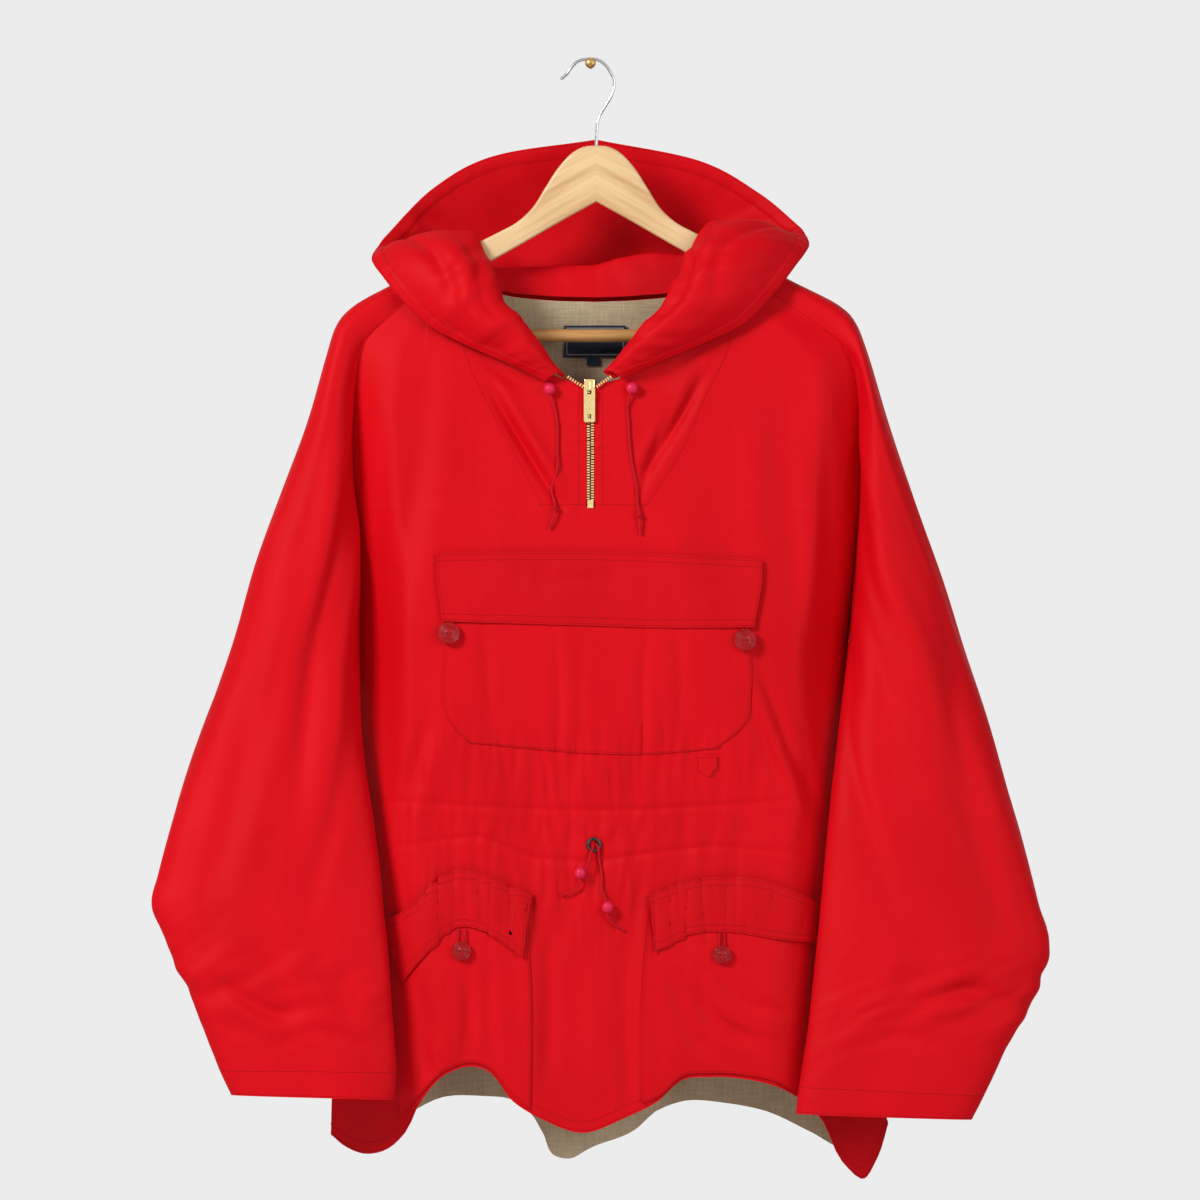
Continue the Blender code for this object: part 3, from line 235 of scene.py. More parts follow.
@dataclass(frozen=True)
class Crease:
    """A soft line pressed or raised in cloth; a plus depth goes into the cloth."""

    points: tuple[tuple[float, float], ...]
    width: float
    depth: float
    lean: Lean = Lean.NONE

    def read(self, a: Array, b: Array) -> Array:
        """Depth of the crease at surface coordinates, in millimetres.

        Args:
            a: First surface coordinate of each point.
            b: Second surface coordinate of each point.

        Returns:
            The depth at each point.
        """
        line = along(self.points, spread(8)) if len(self.points) > 2 else np.array(self.points, dtype=float)
        reach = chord_shares(line)
        nearest = np.full(a.shape, 1e9)
        share = np.zeros(a.shape)
        side = np.zeros(a.shape)
        margin = self.width * 6
        near = ((a > line[:, 0].min() - margin) & (a < line[:, 0].max() + margin)
                & (b > line[:, 1].min() - margin) & (b < line[:, 1].max() + margin))
        if not near.any():
            return np.zeros(a.shape)
        pa, pb = a[near], b[near]
        best, part, hand = np.full(pa.shape, 1e9), np.zeros(pa.shape), np.zeros(pa.shape)
        for i in range(len(line) - 1):
            run = line[i + 1] - line[i]
            length = float(np.hypot(*run))
            t = np.clip(((pa - line[i, 0]) * run[0] + (pb - line[i, 1]) * run[1]) / length ** 2, 0, 1)
            da = pa - line[i, 0] - t * run[0]
            db = pb - line[i, 1] - t * run[1]
            far = np.hypot(da, db)
            closer = far < best
            best = np.where(closer, far, best)
            part = np.where(closer, reach[i] + (reach[i + 1] - reach[i]) * t, part)
            hand = np.where(closer, np.sign(da * run[1] - db * run[0]), hand)
        nearest[near], share[near], side[near] = best, part, hand
        fade = np.sin(math.pi * np.clip(share * 0.94 + 0.03, 0, 1)) ** 0.8
        core = np.exp(-(nearest / self.width) ** 2)
        if self.lean is not Lean.NONE:
            offset = nearest * side * self.lean.value
            core = core - 0.55 * np.exp(-((offset - 1.7 * self.width) / (1.2 * self.width)) ** 2)
        return self.depth * fade * core


@dataclass(frozen=True)
class Wrinkles:
    """A patch of drifting folds of like size and direction."""

    centre: tuple[float, float]
    reach: tuple[float, float]
    across: float
    along: float
    angle: float
    depth: float
    seed: int

    def read(self, a: Array, b: Array) -> Array:
        """Depth of the wrinkles at surface coordinates, in millimetres.

        Args:
            a: First surface coordinate of each point.
            b: Second surface coordinate of each point.

        Returns:
            The depth at each point.
        """
        fade = np.exp(-((a - self.centre[0]) / self.reach[0]) ** 2
                      - ((b - self.centre[1]) / self.reach[1]) ** 2)
        near = fade > 0.02
        total = np.zeros(a.shape)
        if not near.any():
            return total
        turn = math.radians(self.angle)
        u = (a[near] * math.cos(turn) + b[near] * math.sin(turn)) / self.across
        v = (-a[near] * math.sin(turn) + b[near] * math.cos(turn)) / self.along
        drift = noise(u * 0.45, v * 0.8, self.seed + 5)
        value = noise(u + 0.9 * drift, v, self.seed) + 0.35 * noise(2.1 * u, 1.7 * v, self.seed + 9)
        total[near] = self.depth * value * fade[near]
        return total


Mark = Crease | Wrinkles


def press(marks: Sequence[Mark], a: Array, b: Array) -> Array:
    """Total depth of all creases and wrinkles at surface coordinates.

    Args:
        marks: The creases and wrinkles.
        a: First surface coordinate of each point.
        b: Second surface coordinate of each point.

    Returns:
        Their summed depth times the drape factor.
    """
    total = np.zeros(a.shape)
    for mark in marks:
        total = total + mark.read(a, b)
    return total * DRAPE


# ================================================================ meshes
@dataclass
class Patch:
    """A fine grid of cloth: its middle surface, its weave coordinates and which edges are free.

    A free edge is one of t, b, l and r, or such a letter with the first and last column or row that are free.
    """

    points: Array
    weave: Array
    rims: Sequence[str | tuple[str, int, int]] = "tblr"
    normals: Array | None = None


def plain_mesh(name: str, points: Array, faces: Sequence[Sequence[int]], weld: float = 0.0) -> bpy.types.Mesh:
    """A smooth-shaded mesh from points in millimetres.

    Args:
        name: The mesh's name.
        points: Its points.
        faces: Its faces.
        weld: Distance in millimetres under which points become one.

    Returns:
        The mesh, with its faces pointing out.
    """
    mesh = bpy.data.meshes.new(name)
    mesh.from_pydata([tuple(p) for p in np.asarray(points) * MM], [], [tuple(f) for f in faces])
    work = bmesh.new()
    work.from_mesh(mesh)
    if weld:
        bmesh.ops.remove_doubles(work, verts=work.verts, dist=weld * MM)
    bmesh.ops.recalc_face_normals(work, faces=work.faces)
    work.to_mesh(mesh)
    work.free()
    mesh.shade_smooth()
    return mesh


def add_piece(name: str, mesh: bpy.types.Mesh, material: bpy.types.Material) -> bpy.types.Object:
    """Links a mesh as an object with one material.

    Args:
        name: The object's name.
        mesh: Its mesh.
        material: Its material.

    Returns:
        The linked object.
    """
    item = bpy.data.objects.new(name, mesh)
    mesh.materials.clear()
    mesh.materials.append(material)
    bpy.context.scene.collection.objects.link(item)
    return item


def cloth_shell(name: str, patches: Sequence[Patch], thick: float, material: bpy.types.Material,
                coarse: int = 2) -> bpy.types.Object:
    """A closed wall of cloth: a fine outer face, a coarser inner one, and its free edges.

    Args:
        name: The piece's name.
        patches: Grids that share edges where these aren't in their rims.
        thick: Wall thickness in millimetres.
        material: The cloth.
        coarse: Outer cells for each inner cell.

    Returns:
        The piece's object.
    """
    points: list[Array] = []
    weave: list[Array] = []
    faces: list[tuple[int, ...]] = []
    count = 0
    for patch in patches:
        grid = patch.points
        normal = grid_normals(grid) if patch.normals is None else patch.normals
        outer = (grid + normal * thick / 2).reshape(-1, 3)
        inner_grid = (grid - normal * thick / 2)[::coarse, ::coarse]
        rows, columns = grid.shape[:2]
        low_rows, low_columns = inner_grid.shape[:2]
        o = count + np.arange(rows * columns).reshape(rows, columns)
        n = count + rows * columns + np.arange(low_rows * low_columns).reshape(low_rows, low_columns)
        points += [outer, inner_grid.reshape(-1, 3)]
        weave += [patch.weave.reshape(-1, 2), patch.weave[::coarse, ::coarse].reshape(-1, 2)]
        count += rows * columns + low_rows * low_columns
        faces += list(zip(*(q.ravel().tolist() for q in (o[:-1, :-1], o[1:, :-1], o[1:, 1:], o[:-1, 1:]))))
        faces += list(zip(*(q.ravel().tolist() for q in (n[:-1, :-1], n[:-1, 1:], n[1:, 1:], n[1:, :-1]))))
        edges = {"t": (o[0], n[0]), "b": (o[-1], n[-1]), "l": (o[:, 0], n[:, 0]), "r": (o[:, -1], n[:, -1])}
        for rim in patch.rims:
            fine, low = edges[rim[0]]
            first, last = (0, len(fine) - 1) if isinstance(rim, str) else rim[1:]
            for k in range(first // coarse, last // coarse):
                run = fine[k * coarse:(k + 1) * coarse + 1].tolist()
                faces.append(tuple(run + [int(low[k + 1]), int(low[k])]))
    all_weave = np.concatenate(weave) * MM
    mesh = bpy.data.meshes.new(name)
    mesh.from_pydata((np.concatenate(points) * MM).tolist(), [], faces)
    layer = mesh.uv_layers.new(name=UV_NAME)
    index = np.empty(len(mesh.loops), dtype=np.int32)
    mesh.loops.foreach_get("vertex_index", index)
    layer.data.foreach_set("uv", all_weave[index].ravel())
    work = bmesh.new()
    work.from_mesh(mesh)
    bmesh.ops.remove_doubles(work, verts=work.verts, dist=0.25 * MM)
    bmesh.ops.recalc_face_normals(work, faces=work.faces)
    work.to_mesh(mesh)
    work.free()
    mesh.shade_smooth()
    mesh.set_sharp_from_angle(angle=math.radians(62))
    return add_piece(name, mesh, material)


def edge_line(grid: Array, edge: str, inset: float, lift: float) -> Array:
    """A line that runs along one edge of a grid, a real distance inside it.

    Args:
        grid: The surface.
        edge: One of t, b, l and r.
        inset: Distance from the edge in millimetres.
        lift: Distance off the surface in millimetres.

    Returns:
        The line's points.
    """
    turned = {"t": grid, "b": grid[::-1], "l": grid.transpose(1, 0, 2),
              "r": grid.transpose(1, 0, 2)[::-1]}[edge]
    normal = grid_normals(grid)
    facing = {"t": normal, "b": normal[::-1], "l": normal.transpose(1, 0, 2),
              "r": normal.transpose(1, 0, 2)[::-1]}[edge]
    surface = turned + facing * lift
    step = np.linalg.norm(np.diff(turned, axis=0), axis=-1)
    reach = np.concatenate([np.zeros((1, step.shape[1])), np.cumsum(step, axis=0)])
    line = []
    for j in range(surface.shape[1]):
        place = np.interp(inset, reach[:, j], np.arange(len(reach)))
        low = min(int(place), len(reach) - 2)
        line.append(surface[low, j] + (surface[low + 1, j] - surface[low, j]) * (place - low))
    return np.array(line)


def sweep_frames(path: Array) -> tuple[Array, Array]:
    """Two unit directions across a path at each point, carried along without twist.

    Args:
        path: Points along the line.

    Returns:
        Both directions, a row for each point.
    """
    tangent = np.gradient(path, axis=0)
    tangent = tangent / np.maximum(np.linalg.norm(tangent, axis=1), 1e-9)[:, None]
    start = np.array([0.0, 0.0, 1.0]) if abs(tangent[0, 2]) < 0.9 else np.array([0.0, 1.0, 0.0])
    side = np.cross(tangent[0], start)
    side = side / np.linalg.norm(side)
    sides = [side]
    for k in range(1, len(path)):
        side = sides[-1] - tangent[k] * np.dot(sides[-1], tangent[k])
        sides.append(side / np.linalg.norm(side))
    across = np.array(sides)
    return across, np.cross(tangent, across)


def tube_mesh(name: str, path: Array, radius: float | Array, sides: int = 10,
              closed: bool = False) -> bpy.types.Mesh:
    """A round tube along a path, with weave coordinates round and along it.

    Args:
        name: The mesh's name.
        path: Points in millimetres.
        radius: One radius, or one for each point.
        sides: Sides of the tube.
        closed: Whether the tube's ends meet.

    Returns:
        The mesh.
    """
    across, up = sweep_frames(path)
    angle = np.linspace(0, 2 * math.pi, sides, endpoint=False)
    radii = np.broadcast_to(np.asarray(radius, dtype=float), (len(path),))[:, None, None]
    ring = across[:, None] * np.cos(angle)[None, :, None] + up[:, None] * np.sin(angle)[None, :, None]
    points = (path[:, None] + ring * radii).reshape(-1, 3)
    faces: list[tuple[int, ...]] = []
    rings = len(path)
    for i in range(rings if closed else rings - 1):
        for j in range(sides):
            a, b = i * sides + j, i * sides + (j + 1) % sides
            c, d = (i + 1) % rings * sides + (j + 1) % sides, (i + 1) % rings * sides + j
            faces.append((a, b, c, d))
    if not closed:
        faces += [tuple(range(sides)), tuple(range((rings - 1) * sides, rings * sides))]
    mesh = plain_mesh(name, points, faces)
    layer = mesh.uv_layers.new(name=UV_NAME)
    reach = np.concatenate(([0.0], np.cumsum(np.linalg.norm(np.diff(path, axis=0), axis=1)))) * MM
    for loop in mesh.loops:
        i, j = divmod(loop.vertex_index, sides)
        layer.data[loop.index].uv = (j / sides, reach[i])
    if not closed:
        mesh.set_sharp_from_angle(angle=math.radians(60))
    return mesh


def lathe_mesh(name: str, profile: Sequence[tuple[float, float]], steps: int = 48) -> bpy.types.Mesh:
    """A turned mesh about Z from radius and height, poles where the radius is nought.

    Args:
        name: The mesh's name.
        profile: Pairs of radius and height.
        steps: Sides round the axis.

    Returns:
        The turned mesh.
    """
    angle = np.linspace(0, 2 * math.pi, steps, endpoint=False)
    points: list[tuple[float, float, float]] = []
    rings: list[list[int]] = []
    for radius, height in profile:
        if radius < 1e-6:
            rings.append([len(points)] * steps)
            points.append((0.0, 0.0, height))
        else:
            rings.append(list(range(len(points), len(points) + steps)))
            points += [(radius * math.cos(t), radius * math.sin(t), height) for t in angle]
    faces = []
    for upper, lower in zip(rings, rings[1:]):
        for j in range(steps):
            face = [upper[j], upper[(j + 1) % steps], lower[(j + 1) % steps], lower[j]]
            kept = list(dict.fromkeys(face))
            if len(kept) > 2:
                faces.append(tuple(kept))
    return plain_mesh(name, np.array(points), faces)


def place_mesh(mesh: bpy.types.Mesh, origin: Array, normal: Array, upright: Array | None = None) -> None:
    """Turns a mesh's +Z to a normal and moves it to a point in millimetres, inside its own mesh.

    Args:
        mesh: The mesh to move.
        origin: Where its own origin goes, in millimetres.
        normal: Direction that its +Z takes.
        upright: Direction nearest to its +Y, world up where left out.
    """
    z = np.asarray(normal, dtype=float)
    z = z / np.linalg.norm(z)
    guide = np.array([0.0, 0.0, 1.0]) if upright is None else np.asarray(upright, dtype=float)
    x = np.cross(guide, z)
    x = x / np.linalg.norm(x)
    y = np.cross(z, x)
    frame = np.stack([x, y, z], axis=1)
    flat = np.empty(len(mesh.vertices) * 3)
    mesh.vertices.foreach_get("co", flat)
    points = flat.reshape(-1, 3) @ frame.T + np.asarray(origin) * MM
    mesh.vertices.foreach_set("co", points.ravel())
    mesh.update()


def join_meshes(name: str, meshes: Sequence[bpy.types.Mesh]) -> bpy.types.Mesh:
    """One mesh that holds several.

    Args:
        name: The joined mesh's name.
        meshes: The meshes to join.

    Returns:
        The joined mesh.
    """
    work = bmesh.new()
    for mesh in meshes:
        work.from_mesh(mesh)
    joined = bpy.data.meshes.new(name)
    work.to_mesh(joined)
    work.free()
    joined.shade_smooth()
    return joined


# ================================================================ finishes
def linear(hex_colour: str) -> tuple[float, float, float, float]:
    """An sRGB hex colour as linear values with full alpha."""
    parts = [int(hex_colour[i:i + 2], 16) / 255 for i in (1, 3, 5)]
    return (*(c / 12.92 if c <= 0.04045 else ((c + 0.055) / 1.055) ** 2.4 for c in parts), 1.0)


def add_node(material: bpy.types.Material, kind: str, settings: dict[str, object] | None = None,
             **inputs: object) -> bpy.types.Node:
    """Adds a node with its settings, and values or links for its inputs.

    Args:
        material: Whose tree takes the node.
        kind: The node's type name.
        settings: Attributes of the node.
        **inputs: Input name, with _ for a space, or i and an index; a socket makes a link.

    Returns:
        The node.
    """
    node = material.node_tree.nodes.new(kind)
    for key, value in (settings or {}).items():
        setattr(node, key, value)
    for key, value in inputs.items():
        numbered = key[0] == "i" and key[1:].isdigit()
        socket = node.inputs[int(key[1:]) if numbered else key.replace("_", " ")]
        if isinstance(value, bpy.types.NodeSocket):
            material.node_tree.links.new(value, socket)
        else:
            socket.default_value = value
    return node


def blank_material(name: str) -> tuple[bpy.types.Material, bpy.types.Node]:
    """A new node material and its Principled shader."""
    material = bpy.data.materials.new(name)
    material.use_nodes = True
    return material, material.node_tree.nodes["Principled BSDF"]


def ramp(material: bpy.types.Material, factor: bpy.types.NodeSocket,
         stops: Sequence[tuple[float, str]]) -> bpy.types.NodeSocket:
    """A colour ramp with stops of place and hex colour.

    Args:
        material: The material to add to.
        factor: Socket that drives the ramp.
        stops: Pairs of place and hex colour.

    Returns:
        The ramp's colour socket.
    """
    node = add_node(material, "ShaderNodeValToRGB", i0=factor)
    elements = node.color_ramp.elements
    while len(elements) < len(stops):
        elements.new(0.5)
    for element, (place, colour) in zip(elements, stops):
        element.position = place
        element.color = linear(colour)
    return node.outputs[0]


def weave_noise(material: bpy.types.Material, stretch: tuple[float, float], detail: float,
                rough: float = 0.5) -> bpy.types.NodeSocket:
    """Noise on the cloth's own weave coordinates, so many features a metre across and along.

    Args:
        material: The material to add to.
        stretch: Features a metre across and along.
        detail: How many finer layers the noise has.
        rough: How strongly they show.

    Returns:
        The noise's value socket.
    """
    uv = add_node(material, "ShaderNodeUVMap", {"uv_map": UV_NAME})
    place = add_node(material, "ShaderNodeMapping", i0=uv.outputs[0], i3=(stretch[0], stretch[1], 1.0))
    cloth = add_node(material, "ShaderNodeTexNoise", {"noise_dimensions": "2D"},
                     Vector=place.outputs[0], Scale=1.0, Detail=detail, Roughness=rough)
    return cloth.outputs[0]


@dataclass(frozen=True)
class WovenFinish:
    """Plain-woven cloth: warp and weft slubs, a soft sheen and slow changes of shade."""

    name: str
    dark: str
    light: str
    roughness: float
    sheen: float
    sheen_tint: str
    slub: float
    bump: float
    thread: float = 1.1

    def make(self) -> bpy.types.Material:
        """Builds the material; thread is the spacing in millimetres that the weave is drawn at.

        Returns:
            The material.
        """
        material, shader = blank_material(self.name)
        per_metre = 1000.0 / self.thread
        warp = weave_noise(material, (per_metre, per_metre / 14), 2.0)
        weft = weave_noise(material, (per_metre / 14, per_metre), 2.0)
        cross = add_node(material, "ShaderNodeMath", {"operation": "ADD"}, i0=warp, i1=weft)
        drift = weave_noise(material, (16.0, 5.0), 3.0)
        fine = add_node(material, "ShaderNodeMath", {"operation": "MULTIPLY"}, i0=cross.outputs[0],
                        i1=self.slub)
        slow = add_node(material, "ShaderNodeMath", {"operation": "MULTIPLY_ADD"}, i0=drift, i1=0.5,
                        i2=0.25 - self.slub)
        tone = add_node(material, "ShaderNodeMath", {"operation": "ADD"}, i0=fine.outputs[0],
                        i1=slow.outputs[0])
        colour = ramp(material, tone.outputs[0], ((0.25, self.dark), (0.75, self.light)))
        material.node_tree.links.new(colour, shader.inputs["Base Color"])
        shader.inputs["Roughness"].default_value = self.roughness
        shader.inputs["Sheen Weight"].default_value = self.sheen
        shader.inputs["Sheen Roughness"].default_value = 0.45
        shader.inputs["Sheen Tint"].default_value = linear(self.sheen_tint)
        shader.inputs["Specular IOR Level"].default_value = 0.1
        raised = add_node(material, "ShaderNodeBump", Strength=self.bump, Distance=0.0004,
                          Height=cross.outputs[0])
        material.node_tree.links.new(raised.outputs[0], shader.inputs["Normal"])
        return material


@dataclass(frozen=True)
class ResinFinish:
    """Cast or moulded resin, with faint clouding in its colour."""

    name: str
    dark: str
    light: str
    roughness: float
    coat: float = 0.0

    def make(self) -> bpy.types.Material:
        """Builds the material.

        Returns:
            The material.
        """
        material, shader = blank_material(self.name)
        place = add_node(material, "ShaderNodeTexCoord")
        cloud = add_node(material, "ShaderNodeTexNoise", Vector=place.outputs["Object"], Scale=260.0,
                         Detail=3.0)
        colour = ramp(material, cloud.outputs[0], ((0.3, self.dark), (0.7, self.light)))
        material.node_tree.links.new(colour, shader.inputs["Base Color"])
        shader.inputs["Roughness"].default_value = self.roughness
        shader.inputs["Coat Weight"].default_value = self.coat
        shader.inputs["Coat Roughness"].default_value = 0.1
        shader.inputs["IOR"].default_value = 1.45
        shader.inputs["Specular IOR Level"].default_value = 0.3
        return material


@dataclass(frozen=True)
class MetalFinish:
    """Bare or plated metal with fine handling marks in its roughness."""

    name: str
    colour: str
    tarnish: str
    roughness: float
    spread: float = 0.08

    def make(self) -> bpy.types.Material:
        """Builds the material.

        Returns:
            The material.
        """
        material, shader = blank_material(self.name)
        place = add_node(material, "ShaderNodeTexCoord")
        marks = add_node(material, "ShaderNodeTexNoise", Vector=place.outputs["Object"], Scale=420.0,
                         Detail=4.0)
        colour = ramp(material, marks.outputs[0], ((0.35, self.tarnish), (0.6, self.colour)))
        material.node_tree.links.new(colour, shader.inputs["Base Color"])
        rough = add_node(material, "ShaderNodeMapRange", Value=marks.outputs[0], To_Min=self.roughness,
                         To_Max=self.roughness + self.spread)
        material.node_tree.links.new(rough.outputs[0], shader.inputs["Roughness"])
        shader.inputs["Metallic"].default_value = 1.0
        return material


@dataclass(frozen=True)
class CordFinish:
    """Braided elastic cord: two sets of strands that cross as they run round it."""

    name: str
    dark: str
    light: str
    pitch: float = 2.4

    def make(self) -> bpy.types.Material:
        """Builds the material; pitch is the braid's repeat in millimetres.

        Returns:
            The material.
        """
        material, shader = blank_material(self.name)
        uv = add_node(material, "ShaderNodeUVMap", {"uv_map": UV_NAME})
        strands = []
        for lean in (1.0, -1.0):
            place = add_node(material, "ShaderNodeMapping", i0=uv.outputs[0],
                             i3=(lean, 1000.0 / self.pitch, 1.0))
            split = add_node(material, "ShaderNodeSeparateXYZ", i0=place.outputs[0])
            run = add_node(material, "ShaderNodeMath", {"operation": "ADD"}, i0=split.outputs[0],
                           i1=split.outputs[1])
            turn = add_node(material, "ShaderNodeMath", {"operation": "MULTIPLY"}, i0=run.outputs[0],
                            i1=4 * math.pi)
            strands.append(add_node(material, "ShaderNodeMath", {"operation": "SINE"},
                                    i0=turn.outputs[0]).outputs[0])
        high = add_node(material, "ShaderNodeMath", {"operation": "MAXIMUM"}, i0=strands[0], i1=strands[1])
        colour = ramp(material, high.outputs[0], ((0.0, self.dark), (0.8, self.light)))
        material.node_tree.links.new(colour, shader.inputs["Base Color"])
        raised = add_node(material, "ShaderNodeBump", Strength=0.5, Distance=0.0003, Height=high.outputs[0])
        material.node_tree.links.new(raised.outputs[0], shader.inputs["Normal"])
        shader.inputs["Roughness"].default_value = 0.6
        shader.inputs["Specular IOR Level"].default_value = 0.12
        return material


@dataclass(frozen=True)
class WoodFinish:
    """Lacquered wood with grain that follows both arms of the hanger, and a few pores."""

    name: str
    dark: str
    light: str
    middle: float
    slope: float

    def make(self) -> bpy.types.Material:
        """Builds the material; slope is how steeply the grain falls away from the middle.

        Returns:
            The material.
        """
        material, shader = blank_material(self.name)
        place = add_node(material, "ShaderNodeTexCoord")
        split = add_node(material, "ShaderNodeSeparateXYZ", i0=place.outputs["Object"])
        shift = add_node(material, "ShaderNodeMath", {"operation": "SUBTRACT"}, i0=split.outputs[0],
                         i1=self.middle * MM)
        out = add_node(material, "ShaderNodeMath", {"operation": "ABSOLUTE"}, i0=shift.outputs[0])
        fall = add_node(material, "ShaderNodeMath", {"operation": "MULTIPLY_ADD"}, i0=out.outputs[0],
                        i1=self.slope,
                        i2=split.outputs[2])
        grain_place = add_node(material, "ShaderNodeCombineXYZ", i0=out.outputs[0], i1=split.outputs[1],
                               i2=fall.outputs[0])
        stretched = add_node(material, "ShaderNodeMapping", i0=grain_place.outputs[0],
                             i3=(14.0, 120.0, 210.0))
        grain = add_node(material, "ShaderNodeTexNoise", Vector=stretched.outputs[0], Scale=1.0, Detail=4.0,
                         Roughness=0.6)
        broad = add_node(material, "ShaderNodeMapping", i0=grain_place.outputs[0], i3=(6.0, 30.0, 40.0))
        bands = add_node(material, "ShaderNodeTexNoise", Vector=broad.outputs[0], Scale=1.0, Detail=2.0)
        tone = add_node(material, "ShaderNodeMath", {"operation": "MULTIPLY_ADD"}, i0=bands.outputs[0],
                        i1=0.55,
                        i2=0.0)
        both = add_node(material, "ShaderNodeMath", {"operation": "MULTIPLY_ADD"}, i0=grain.outputs[0],
                        i1=0.45,
                        i2=tone.outputs[0])
        colour = ramp(material, both.outputs[0], ((0.36, self.dark), (0.56, self.light)))
        material.node_tree.links.new(colour, shader.inputs["Base Color"])
        raised = add_node(material, "ShaderNodeBump", Strength=0.12, Distance=0.0005, Height=grain.outputs[0])
        material.node_tree.links.new(raised.outputs[0], shader.inputs["Normal"])
        shader.inputs["Roughness"].default_value = 0.42
        shader.inputs["Coat Weight"].default_value = 0.25
        shader.inputs["Coat Roughness"].default_value = 0.25
        return material


@dataclass
class Finishes:
    """Every finish of the object, made once."""

    made: dict[str, bpy.types.Material] = field(default_factory=dict)

    RECIPES = (
        # cotton and nylon weave, piece-dyed red: soft satin, shade drifts with the dye
        WovenFinish("cotton_nylon_red", "#C2000C", "#DA0516", 0.6, 0.03, "#FF3A3A", 0.10, 0.2),
        # the same cloth where it is sewn double, a touch deeper
        WovenFinish("cotton_nylon_red_double", "#BC000B", "#D40415", 0.6, 0.03, "#FF3A3A", 0.10, 0.2),
        # unbleached slubby lining, threads of uneven thickness both ways
        WovenFinish("slub_lining_beige", "#A8977A", "#CDBC9B", 0.85, 0.1, "#FFFFFF", 0.45, 0.35, 1.6),
        WovenFinish("damask_label_navy", "#1D2735", "#34414F", 0.7, 0.1, "#FFFFFF", 0.35, 0.3, 0.9),
        WovenFinish("polyester_thread_red", "#8A0510", "#A20A16", 0.5, 0.1, "#FF9A9A", 0.05, 0.1),
        WovenFinish("thread_border_grey", "#7E8488", "#A3A8A8", 0.7, 0.1, "#FFFFFF", 0.2, 0.1),
        ResinFinish("cast_resin_dark_red", "#9C020A", "#A8040E", 0.3, 0.0),
        ResinFinish("moulded_resin_pink", "#D01640", "#DE2450", 0.4),
        # painted shade: near-black resin for the discs that stand in for the shade inside the buttons' eyes
        ResinFinish("button_eye_shadow", "#3A0206", "#4A0308", 0.5),
        MetalFinish("polished_brass", "#FBE6A4", "#F3DB96", 0.2),
        MetalFinish("blackened_steel", "#4A484A", "#2E2C2E", 0.32),
        MetalFinish("plated_wire", "#C8C8CC", "#A9A9AD", 0.12),
        MetalFinish("pin_brass", "#C9A46A", "#8F6E3C", 0.34),
        CordFinish("braided_cord_red", "#A00816", "#D41428"),
        WoodFinish("lacquered_birch", "#C79A63", "#E4C391", 5.2, 0.55),
        WoodFinish("lacquered_dowel", "#A87338", "#CD9B57", 5.2, 0.0),
    )

    def build(self) -> None:
        """Makes each material."""
        for recipe in self.RECIPES:
            self.made[recipe.name] = recipe.make()

    def __getitem__(self, name: str) -> bpy.types.Material:
        """The material of that name."""
        return self.made[name]


# ================================================================ the garment's sizes
CLOTH = 1.2                  # wall of every cloth piece
LAYER = CLOTH + 0.7          # middle of one layer to the middle of the next one on it
INSET_BOTTOM = -403.0
ZIP_WIDTH = 6.4

# side edges, depth of their seams, depth of front and back, and how far in the front comes forward
BODY_COLUMNS = ("height", "left", "right", "edge_front", "edge_back", "front", "back", "rise")
BODY_ROWS = (
    (-170, -104, 110, -9, 9, -11, 11, 34),
    (-190, -128, 133, -13, 13, -15, 15, 34),
    (-223, -170, 178, -18, 18, -22, 22, 36),
    (-257, -204, 224, -20, 21, -31, 27, 38),
    (-278, -210, 237, -19, 23, -36, 30, 40),
    (-334, -215, 244, -9, 24, -40, 35, 42),
    (-403, -213, 243, -2, 22, -44, 38, 44),
    (-470, -208, 238, 3, 16, -50, 40, 46),
    (-530, -208, 232, 5.3, 6.7, -54, 41, 50),
    (-600, -213, 234, 5.3, 6.7, -55, 40, 56),
    (-690, -220, 240, 5.3, 6.7, -53, 37, 64),
    (-770, -227, 248, 5.3, 6.7, -56, 40, 86),
    (-860, -231, 259, 5.3, 6.7, -59, 44, 102),
    (-960, -234, 268, 5.3, 6.7, -60, 46, 108),
    (-1020, -235, 270, 5.3, 6.7, -60, 46, 108),
)
# heights of the raglan seam's points, shared by the front, the back and the sleeves
SEAM_HEIGHTS = (-190, -223, -245, -257, -278, -334, -403, -470, -530)
BACK_SEAM_OUT = 5.0          # how much further out the back seam runs than the front one

# the neckline, left half, from the zip to the middle of the back
# columns: name, x, height, panel
NECKLINE_LEFT = (
    ("zip_end", -22, -289, "front"),
    ("collar_low", -56, -270, "front"),
    ("collar_mid", -86, -249, "front"),
    ("collar_high", -107, -227, "front"),
    ("inset_seam", -122, -203, "front"),
    ("raglan_front", -128, -190, "front"),
    ("arm_front", -131, -179.5, "arm"),
    ("shoulder", -132, -175.5, "top"),
    ("arm_back", -131, -179.5, "arm_behind"),
    ("raglan_back", -128, -190, "back"),
    ("nape_side", -82, -210, "back"),
    ("nape_mid", -40, -215.5, "back"),
    ("nape", 5, -217, "back"),
)

# seams of the neck inset, from the neckline down to its lower corners
INSET_SEAM_LEFT = ((-122, -203), (-124, -232), (-115, -262), (-99.5, -299), (-79, -338), (-59, -376),
                   (-45.5, -403))
INSET_SEAM_RIGHT = ((127, -203), (131, -232), (124, -262), (104, -303), (84, -350), (64, -383), (50, -403))
